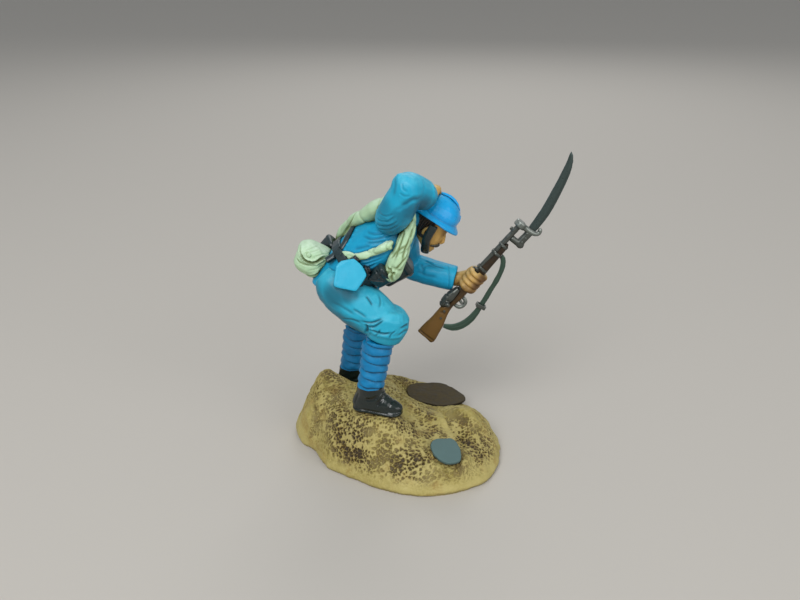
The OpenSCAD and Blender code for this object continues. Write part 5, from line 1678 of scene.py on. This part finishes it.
@dataclass
class Webbing:
    """The leather belt, its two cartridge pouches and the straps over the tunic."""

    grain_mm: float = 0.12
    crease_mm: float = 0.14
    stud_radius_mm: float = 0.26

    def build(self) -> None:
        """Builds the belt, the pouches and the two narrow straps."""
        plain_casting("belt", LEATHER_SLATE, self.grain_mm, 5, (1.8, 0.06, 2))
        for node in ("shoulder_strap", "canteen_strap"):
            plain_casting(node, LEATHER_SLATE, 0.1, 4, (1.5, 0.07, 6))
        self._right_pouch()
        self._left_pouch()

    def _right_pouch(self) -> None:
        """Builds the pouch on the right hip, with the edge of its lid and its stud."""
        w = self.crease_mm
        pouch = Casting("right_pouch_cast", ["right_pouch"], grain=0.1, ease=7)
        lid = Fold(((-4.6, -6.2, 33.7), (-3.4, -6.3, 33.4), (-2.2, -6.0, 33.2)), w, -0.14, 0.6)
        side = Fold(((-3.9, -6.2, 35.2), (-3.0, -6.3, 34.4), (-2.6, -6.2, 33.6)), w, -0.1, 0.5)
        pouch.work([lid, side]).dimple(1.2, 0.08, 5)
        at, facing = pouch.spot((-3.3, -6.6, 33.9))
        pouch.finish(LEATHER_SLATE)
        placed(stud("right_pouch_stud", at, facing, self.stud_radius_mm, 0.3), LEATHER_SLATE)

    def _left_pouch(self) -> None:
        """Builds the pouch on the left hip with the same lid and stud."""
        pouch = Casting("left_pouch_cast", ["left_pouch"], grain=0.1, ease=7)
        low, high = pouch.points.min(0), pouch.points.max(0)
        middle = (low + high) / 2
        edge = tuple((float(x), float(high[1]), float(middle[2] - 0.5))
                     for x in (low[0], middle[0], high[0]))
        pouch.work([Fold(edge, self.crease_mm, -0.14, 0.6)]).dimple(1.2, 0.08, 6)
        at, facing = pouch.spot((float(middle[0]), float(high[1]), float(middle[2])))
        pouch.finish(LEATHER_SLATE)
        placed(stud("left_pouch_stud", at, facing, self.stud_radius_mm, 0.3), LEATHER_SLATE)


@dataclass
class Blanket:
    """The rolled blanket worn over the right shoulder, crushed and gathered at its end."""

    grain_mm: float = 0.14
    crease_mm: float = 0.2
    depth_mm: float = 0.2

    def build(self) -> None:
        """Builds the roll."""
        roll = Casting("blanket_roll_cast", ["blanket_roll"], grain=self.grain_mm, ease=10)
        roll.crumple(3.4, 0.3, 3, 0.3)
        roll.work(self._lengthwise() + self._knot()).dimple(3.0, 0.2, 4)
        roll.ease(3).finish(CREAM)

    def _lengthwise(self) -> list[Fold]:
        """Lists the long folds that follow the roll, front and back.

        Returns:
            The folds.
        """
        w, d = self.crease_mm, -self.depth_mm
        return [
            Fold(((1.2, -5.0, 42.4), (0.6, -6.2, 40.9), (-0.2, -6.7, 38.7),
                  (-0.9, -6.8, 36.7)), w, d, 0.7),
            Fold(((2.0, -5.4, 42.2), (1.6, -6.3, 40.6), (0.7, -6.9, 38.4),
                  (0.3, -7.0, 36.6)), w, d, 0.7),
            Fold(((0.9, -6.2, 39.4), (-0.3, -6.6, 38.4), (-1.5, -6.4, 37.0)), w, d * 0.8, 0.6),
            Fold(((1.5, -6.4, 37.9), (0.2, -6.9, 36.6), (-0.9, -6.8, 35.2)), w, d * 0.9, 0.6),
            Fold(((-9.4, 3.2, 37.6), (-8.4, 1.8, 39.4), (-7.5, 0.5, 41.2),
                  (-5.8, 0.6, 43.2)), w, d, 0.6),
            Fold(((-10.2, 3.0, 36.8), (-9.0, 1.2, 38.8), (-8.1, -0.1, 40.6)), w, d * 0.8, 0.6)]

    def _knot(self) -> list[Fold]:
        """Lists the gathered, ragged end beside the right pouch.

        Returns:
            The folds.
        """
        w, d = self.crease_mm, -self.depth_mm
        return [
            Fold(((-1.2, -6.8, 35.6), (-1.9, -6.5, 34.8), (-1.6, -6.2, 33.4)), w, d * 1.3, 0.8),
            Fold(((-0.7, -6.9, 35.2), (-1.3, -6.6, 34.2), (-1.0, -6.2, 33.2)), w, d * 1.3, 0.8),
            Fold(((-2.0, -6.2, 35.8), (-1.5, -6.8, 35.2), (-0.6, -6.9, 34.4)), w, d, 0.6),
            Fold(((-1.7, -6.5, 34.5),), 0.4, 0.25), Fold(((-1.2, -6.4, 33.4),), 0.35, 0.22)]


@dataclass
class Haversack:
    """The canvas bag behind the right hip, its sling and the mess tin strapped on it."""

    grain_mm: float = 0.13
    crease_mm: float = 0.2
    depth_mm: float = 0.24
    button_radius_mm: float = 0.34

    def build(self) -> None:
        """Builds the bag, its button, the sling and the mess tin."""
        bag = Casting("haversack_cast", ["bread_bag"], grain=self.grain_mm, ease=22)
        bag.work(self._lobes()).work(self._flap() + self._pleats())
        bag.dimple(2.4, 0.12, 2)
        at, facing = bag.spot((-14.3, -1.9, 36.0))
        # Painted shade on two spots low on the bag.
        bag.darken([((-14.1, -0.6, 31.9), 1.4, 0.5), ((-11.4, -2.4, 34.0), 0.9, 0.6)])
        bag.ease(1).finish(CREAM)
        placed(stud("haversack_button", at, facing, self.button_radius_mm, 0.3), CREAM)
        knot = beaded([(-3.6, -6.1, 38.3), (-2.7, -6.3, 38.8), (-1.9, -6.1, 39.2),
                       (-1.2, -5.8, 39.5)], (0.45, 0.62, 0.55, 0.25))
        sling = Casting("haversack_sling_cast", ["bread_bag_strap"], grain=0.12, ease=8,
                        added=[knot])
        sling.crumple(2.4, 0.15, 7, 0.2)
        sling.work([Fold(((-2.4, -6.0, 39.0), (-1.7, -6.0, 39.4)), 0.5, 0.2)]).finish(CREAM)
        plain_casting("mess_tin", LEATHER_SLATE, 0.1, 5, (1.4, 0.06, 3))

    def _lobes(self) -> list[Fold]:
        """Lists the stuffed lobes of the lid and of the bag below it.

        Returns:
            The folds.
        """
        return [
            Fold(((-14.9, -1.7, 36.2), (-13.4, -1.9, 36.4), (-12.2, -1.0, 36.3)), 0.9, 0.22),
            Fold(((-15.6, -1.6, 33.8), (-14.0, -2.0, 33.6), (-12.6, -2.0, 34.0)), 0.9, 0.2),
            Fold(((-13.6, -1.8, 32.4), (-12.4, -2.2, 32.9)), 0.6, 0.14)]

    def _flap(self) -> list[Fold]:
        """Lists the lid's scalloped edge and the crease between the two lower lobes.

        Returns:
            The folds.
        """
        w, d = self.crease_mm, -self.depth_mm
        return [
            Fold(((-16.0, -0.4, 37.0), (-15.6, -1.4, 36.0), (-15.0, -1.8, 35.2),
                  (-14.1, -1.9, 34.9),
                  (-13.3, -2.1, 34.9), (-12.4, -1.9, 35.4), (-11.5, -1.3, 35.4)), w, d * 1.9, 0.8),
            Fold(((-15.8, -0.8, 32.4), (-14.9, -1.5, 32.2), (-14.0, -1.8, 32.3),
                  (-13.0, -2.0, 32.9),
                  (-12.2, -2.1, 33.6)), w, d, 0.5),
            Fold(((-16.6, -0.9, 35.1), (-16.1, -1.5, 34.7), (-15.3, -1.9, 34.4),
                  (-14.1, -2.0, 34.3)), w * 0.8, d * 0.6, 0.4)]

    def _pleats(self) -> list[Fold]:
        """Lists the small pleats gathered towards the figure's back.

        Returns:
            The folds.
        """
        w, d = self.crease_mm * 0.7, -self.depth_mm * 0.22
        return [
            Fold(((-15.2, -1.6, 36.5), (-13.9, -1.1, 36.9), (-12.9, 0.6, 36.6)), w, d, 0.6),
            Fold(((-15.4, -1.7, 36.1), (-13.9, -1.7, 36.4), (-12.6, -0.7, 36.4)), w, d, 0.6),
            Fold(((-13.6, -2.0, 35.7), (-12.5, -1.6, 35.9), (-11.5, -0.8, 35.7)), w, d, 0.6),
            Fold(((-14.8, -1.9, 34.1), (-13.2, -1.9, 34.5), (-11.6, -1.7, 35.1)), w, d, 0.6),
            Fold(((-14.8, -1.9, 33.4), (-13.2, -2.0, 33.8), (-12.0, -2.0, 34.4)), w, d, 0.6)]


@dataclass
class Canteen:
    """The two-spouted water bottle, with a seam round its side and black stoppers."""

    grain_mm: float = 0.12
    corks: tuple[Place, ...] = ((-6.8, -5.4, 36.8), (-4.9, -6.1, 35.2))
    collar_radius_mm: float = 0.68
    collar_wire_mm: float = 0.2
    collar_drop_mm: float = 0.35
    middle: Place = (-7.4, -6.9, 34.7)

    def build(self) -> None:
        """Builds the bottle, its stoppers and the rings round their necks."""
        bottle = Casting("canteen_cast", ["canteen"], grain=self.grain_mm, ease=16)
        corners = ((-7.5, -6.5, 36.9), (-9.7, -7.2, 35.9), (-9.9, -8.2, 33.9), (-7.2, -8.5, 32.8),
                   (-5.2, -7.4, 34.7), (-7.5, -6.5, 36.9))
        rim = [Fold((a, tuple((p + q) / 2 for p, q in zip(a, b)), b), 0.3, 0.03)
               for a, b in zip(corners, corners[1:])]
        face = [Fold(((-7.8, -7.5, 34.9),), 1.5, 0.06)]
        bottle.work(rim + face).dimple(2.0, 0.07, 3)
        # The bottle takes no wash; a row of painted shade runs along its bottom edge.
        bottle.wash[:] = 0
        bottle.darken([((-9.9 + 0.68 * k, -7.9, 33.2 - 0.26 * k), 0.55, 0.6) for k in range(5)])
        bottle.finish(CANTEEN_BLUE)
        plain_casting("canteen_corks", CORK_BLACK, 0.08, 4, (0.8, 0.05, 2))
        for side, place in zip(("back", "front"), self.corks):
            away = Vector(place) - Vector(self.middle)
            at = Vector(place) - away.normalized() * self.collar_drop_mm
            placed(ring(f"{side}_spout_ring", at, away, self.collar_radius_mm,
                        self.collar_wire_mm), CORK_BLACK)


# ---- Rifle -------------------------------------------------------------------


@dataclass
class Woodwork:
    """The walnut stock, with its butt plate, its wrist and the groove for the fingers."""

    grain_mm: float = 0.12
    line_mm: float = 0.13
    cut_mm: float = 0.14
    screw_mm: float = 0.2

    def build(self) -> None:
        """Builds the stock and its screws."""
        stock = Casting("stock_cast", ["rifle_stock"], grain=self.grain_mm, ease=4)
        folds = self._butt_plate() + self._receiver_cheeks()
        for side in (-1, 1):
            folds.append(RIFLE.fold([(-0.2, side * 0.8, 0.1), (1.4, side * 0.8, 0.08),
                                     (2.4, side * 0.8, 0.05)], 0.16, -0.12))
            folds.append(RIFLE.fold([(3.6, side * 0.8, 0.0), (5.0, side * 0.8, 0.0),
                                     (6.0, side * 0.8, 0.0)], 0.14, -0.1))
        stock.work(folds).dimple(1.6, 0.05, 12)
        dark = [(RIFLE.at(x, 0.0, -0.2), 1.7, 0.95) for x in (1.4, 2.8, 4.2, 5.6, 7.0, 8.4)]
        dark += [(RIFLE.at(x, 0.0, 0.1), 1.3, 0.85) for x in (-1.6, -2.8, -4.0, -5.2)]
        stock.darken(dark).finish(WALNUT)
        for side, hand in SIDES:
            for k, (x, level) in enumerate(((BUTT_MM + 4.6, -0.5), (-6.9, -0.1))):
                at = Vector(RIFLE.at(x, side * 0.72, level))
                placed(stud(f"stock_screw_{k}_{hand}", at, RIFLE.way(0, side, 0),
                            self.screw_mm, 0.22), GUNMETAL)

    def _butt_plate(self) -> list[Fold]:
        """Lists the line where the butt plate meets the wood, on both sides.

        Returns:
            The folds.
        """
        x = BUTT_MM + 0.55
        return [RIFLE.fold([(x, 0.0, 0.8), (x, side * 0.75, 0.3), (x, side * 0.85, -0.9),
                            (x, side * 0.7, -2.0), (x, 0.0, -2.6)], self.line_mm, -self.cut_mm)
                for side in (-1, 1)]

    def _receiver_cheeks(self) -> list[Fold]:
        """Lists the flat cheeks beside the receiver and the swell of the grip.

        Returns:
            The folds.
        """
        folds = []
        for side in (-1, 1):
            folds += [
                RIFLE.fold([(-6.6, side * 0.7, 0.5), (-4.6, side * 0.8, 0.45),
                            (-2.2, side * 0.75, 0.4)], self.line_mm, -self.cut_mm),
                RIFLE.fold([(-7.6, side * 0.6, 0.4), (-7.1, side * 0.7, -0.2),
                            (-7.4, side * 0.6, -0.7)], 0.25, -0.1),
                RIFLE.fold([(-5.6, side * 0.8, -0.5), (-4.0, side * 0.8, -0.55),
                            (-2.6, side * 0.8, -0.6)], 0.3, 0.08)]
        return folds


@dataclass
class Metalwork:
    """The barrel with its sights, the bolt, the bands and the trigger guard."""

    grain_mm: float = 0.09
    bore_mm: float = 0.24
    band_screw_mm: float = 0.16
    guard_swell_mm: float = 0.1

    def build(self) -> None:
        """Builds the metal parts of the rifle."""
        barrel = Casting("barrel_cast", ["rifle_barrel"], grain=self.grain_mm, ease=3)
        bore = Fold((RIFLE.at(MUZZLE_MM, 0, BORE_LEVEL_MM),), self.bore_mm, -0.4)
        crown = RIFLE.fold([(MUZZLE_MM - 0.5, -0.5, 0.3), (MUZZLE_MM - 0.5, 0, -0.2),
                            (MUZZLE_MM - 0.5, 0.5, 0.3)], 0.1, -0.05)
        barrel.work([bore, crown]).dimple(1.2, 0.03, 4).finish(GUNMETAL)
        bolt = Casting("bolt_cast", ["rifle_bolt"], grain=self.grain_mm, ease=3)
        bolt.work([RIFLE.fold([(-6.0, 0.5, 1.2), (-6.0, 0, 1.5), (-6.0, -0.6, 1.2)], 0.12, -0.12),
                   RIFLE.fold([(-4.4, 0.5, 1.3), (-4.4, 0, 1.6), (-4.4, -0.7, 1.2)], 0.12, -0.12),
                   RIFLE.fold([(-4.3, -0.3, 1.6), (-3.2, -0.3, 1.5), (-2.5, -0.2, 1.2)],
                              0.16, -0.14)])
        bolt.dimple(1.0, 0.04, 5).finish(GUNMETAL)
        plain_casting("barrel_bands", GUNMETAL, self.grain_mm, 3, (0.8, 0.03, 6), "bands_cast")
        guard = Casting("trigger_guard_cast", ["trigger_guard"], grain=self.grain_mm, ease=3)
        guard.push(np.full(len(guard.points), self.guard_swell_mm)).dimple(0.7, 0.05, 7)
        guard.finish(BRIGHT_STEEL)
        self._fittings()

    def _fittings(self) -> None:
        """Adds the rear sight's leaf, the bands' screws and a ring round the muzzle."""
        leaf = []
        for k in range(3):
            leaf.append(stud(f"leaf_{k}", Vector(RIFLE.at(1.15 + 0.5 * k, 0, 1.12 + 0.06 * k)),
                             RIFLE.way(0, 0, 1), 0.2, 0.2))
        placed(joined("rear_sight_leaf", leaf), BRIGHT_STEEL)
        for side, hand in SIDES:
            for k, (x, level, out) in enumerate(((6.4, 0.25, 0.84), (8.1, 0.2, 0.76))):
                placed(stud(f"band_screw_{k}_{hand}", Vector(RIFLE.at(x, side * out, level)),
                            RIFLE.way(0, side, 0), self.band_screw_mm, 0.2), BRIGHT_STEEL)
        placed(ring("muzzle_ring", Vector(RIFLE.at(MUZZLE_MM - 0.12, 0, BORE_LEVEL_MM)),
                    RIFLE.way(1, 0, 0), 0.46, 0.07), GUNMETAL)


@dataclass
class Sling:
    """The webbing sling: stitched edges, a woven face and its buckle."""

    grain_mm: float = 0.11
    seam_mm: float = 0.1
    face_mm: float = 0.36
    thinned_mm: float = 0.14
    half_width_mm: float = 0.75
    line: tuple[tuple[float, float], ...] = (
        (6.2, -1.7), (5.4, -2.35), (3.6, -3.1), (0.9, -3.7), (-2.4, -4.4), (-5.0, -4.7),
        (-7.2, -4.3), (-8.6, -3.3), (-9.1, -2.3))

    def build(self) -> None:
        """Builds the sling and its buckle."""
        sling = Casting("sling_cast", ["rifle_sling"], grain=self.grain_mm, ease=4)
        sling.push(np.full(len(sling.points), -self.thinned_mm))
        sling.work(self._edges() + self._weave()).dimple(1.6, 0.06, 3).finish(SLING_GREEN)
        plain_casting("sling_buckle", GUNMETAL, 0.08, 3, (0.6, 0.03, 2))

    def _edges(self) -> list[Fold]:
        """Lists the seams along both edges of the outer and the inner face.

        Returns:
            The folds.
        """
        folds = []
        for face in (-1, 1):
            for side in (-1, 1):
                places = [(x, side * self.half_width_mm, level + face * self.face_mm)
                          for x, level in self.line]
                folds.append(RIFLE.fold(places, self.seam_mm, -0.07))
        return folds

    def _weave(self) -> list[Fold]:
        """Lists the cross ribs of the webbing's outer face.

        Returns:
            The folds.
        """
        ribs = []
        path = curve_through([(x, 0.0, level) for x, level in self.line], 6)
        for x, _, level in path[2:-2]:
            ribs.append(RIFLE.fold([(x, -0.6, level - self.face_mm), (x, 0.6, level - self.face_mm)],
                                   0.09, -0.05))
        return ribs


@dataclass
class Bayonet:
    """The sword bayonet: a riveted grip, a hooked guard and a blade with a ground edge."""

    grain_mm: float = 0.1
    guard_along_mm: float = MUZZLE_MM + 0.45
    grip_level_mm: float = -1.75
    blade_mm: float = 13.8
    rivet_mm: float = 0.13
    swell_mm: float = 0.12
    half_height_mm: float = 0.8
    spine: tuple[tuple[float, float], ...] = (
        (0.1, 0.1), (0.28, 0.42), (0.45, 0.95), (0.62, 1.6), (0.78, 2.35), (0.88, 2.95))

    def build(self) -> None:
        """Builds the grip with its rivets, the guard and the blade."""
        grip = Casting("bayonet_grip_cast", ["bayonet_grip"], grain=0.09, ease=3)
        seams = [RIFLE.fold([(self.guard_along_mm + a, 0, self.grip_level_mm + s * 0.5)
                             for a in (-2.2, -1.4, -0.6)], 0.1, -0.08) for s in (-1, 1)]
        grip.push(np.full(len(grip.points), 1.6 * self.swell_mm))
        grip.work(seams).dimple(0.9, 0.03, 3).finish(GUNMETAL)
        for side, hand in SIDES:
            for k, a in enumerate((-2.0, -1.1)):
                at = Vector(RIFLE.at(self.guard_along_mm + a, side * 0.6, self.grip_level_mm))
                placed(stud(f"grip_rivet_{k}_{hand}", at, RIFLE.way(0, side, 0),
                            self.rivet_mm, 0.18), BRIGHT_STEEL)
        guard = Casting("bayonet_guard_cast", ["bayonet_guard"], grain=0.09, ease=3)
        guard.push(np.full(len(guard.points), self.swell_mm)).dimple(0.9, 0.05, 4)
        guard.finish(BRIGHT_STEEL)
        blade = Casting("bayonet_blade_cast", ["bayonet_blade"], grain=self.grain_mm, ease=2)
        blade.work(self._edges()).dimple(2.0, 0.03, 5).finish(BLADE_STEEL)

    def _edges(self) -> list[Fold]:
        """Lists the raised back of the blade and the line where its edge is ground.

        Returns:
            The folds.
        """
        folds = []
        for side in (-1, 1):
            for level, rise in ((self.half_height_mm, 0.07), (0.25 - self.half_height_mm, -0.05)):
                places = [(self.guard_along_mm + share * self.blade_mm, side * 0.22,
                           self.grip_level_mm + high + level * (1.1 - 0.5 * share))
                          for share, high in self.spine]
                folds.append(RIFLE.fold(places, 0.14, rise))
        return folds


SUB_ASSEMBLIES: tuple[Callable, ...] = (
    Groundwork, Boots, Puttees, Breeches, Tunic, Sleeves, Hands, Head, Helmet, Webbing, Blanket,
    Haversack, Canteen, Woodwork, Metalwork, Sling, Bayonet)


# ---- Studio ----------------------------------------------------------------


@dataclass
class Studio:
    """The floor, the soft lamps and the camera at the photograph's angle."""

    camera_place: Place = (0.0, -0.12031, 0.08093)
    camera_pitch: float = 66.0
    lens: float = 36.0
    floor_half: float = 6.0
    floor_colour: str = "#c9c4bc"
    aim: Place = (0.0, 0.0, 0.025)

    def build(self) -> None:
        """Makes the stage, in the order floor, lamps, world and camera."""
        self._floor()
        self._lamp("key lamp", (-0.14, -0.32, 0.36), 0.30, 1.35)
        self._lamp("fill lamp", (0.32, -0.36, 0.16), 0.40, 0.85)
        self._lamp("back lamp", (0.05, 0.40, 0.34), 0.30, 0.5)
        self._world()
        self._camera()

    def _floor(self) -> None:
        """Lays a plain pale floor under the base."""
        bpy.ops.object.select_all(action="DESELECT")
        bpy.ops.mesh.primitive_plane_add(size=2 * self.floor_half)
        floor = bpy.context.object
        floor.name = "floor"
        paper = bpy.data.materials.new("pale matt paper")
        paper.use_nodes = True
        shader = paper.node_tree.nodes["Principled BSDF"]
        shader.inputs["Base Color"].default_value = linear(self.floor_colour)
        shader.inputs["Roughness"].default_value = 0.9
        floor.data.materials.append(paper)

    def _lamp(self, name: str, at: Place, size: float, power: float) -> None:
        """Hangs a square soft lamp that faces the figure.

        Args:
            name: The lamp's name.
            at: Its place in metres.
            size: Its side in metres.
            power: Its power in watts.
        """
        lamp = bpy.data.lights.new(name, "AREA")
        lamp.size = size
        lamp.energy = power
        holder = bpy.data.objects.new(name, lamp)
        bpy.context.scene.collection.objects.link(holder)
        holder.location = at
        aim = Vector(self.aim) - Vector(at)
        holder.rotation_euler = aim.to_track_quat("-Z", "Y").to_euler()

    def _world(self) -> None:
        """Fills the room with soft pale light."""
        world = bpy.data.worlds.new("pale room")
        world.use_nodes = True
        sky = world.node_tree.nodes["Background"]
        sky.inputs["Color"].default_value = linear("#e8ecf0")
        sky.inputs["Strength"].default_value = 0.4
        bpy.context.scene.world = world

    def _camera(self) -> None:
        """Sets the camera where the photograph was taken from."""
        made = bpy.data.cameras.new("camera")
        made.lens = self.lens
        made.sensor_width = 36.0
        made.clip_start = 0.005
        holder = bpy.data.objects.new("camera", made)
        bpy.context.scene.collection.objects.link(holder)
        holder.location = self.camera_place
        holder.rotation_euler = (math.radians(self.camera_pitch), 0.0, 0.0)
        bpy.context.scene.camera = holder
        bpy.context.scene.view_settings.view_transform = "Standard"


def main() -> None:
    """Builds the studio, then the figure's pieces in order."""
    logging.basicConfig(level=logging.INFO, format="%(name)s: %(message)s")
    noise.seed_set(NOISE_SEED)
    Studio().build()
    for sub_assembly in SUB_ASSEMBLIES:
        sub_assembly().build()


if __name__ == "__main__":
    main()
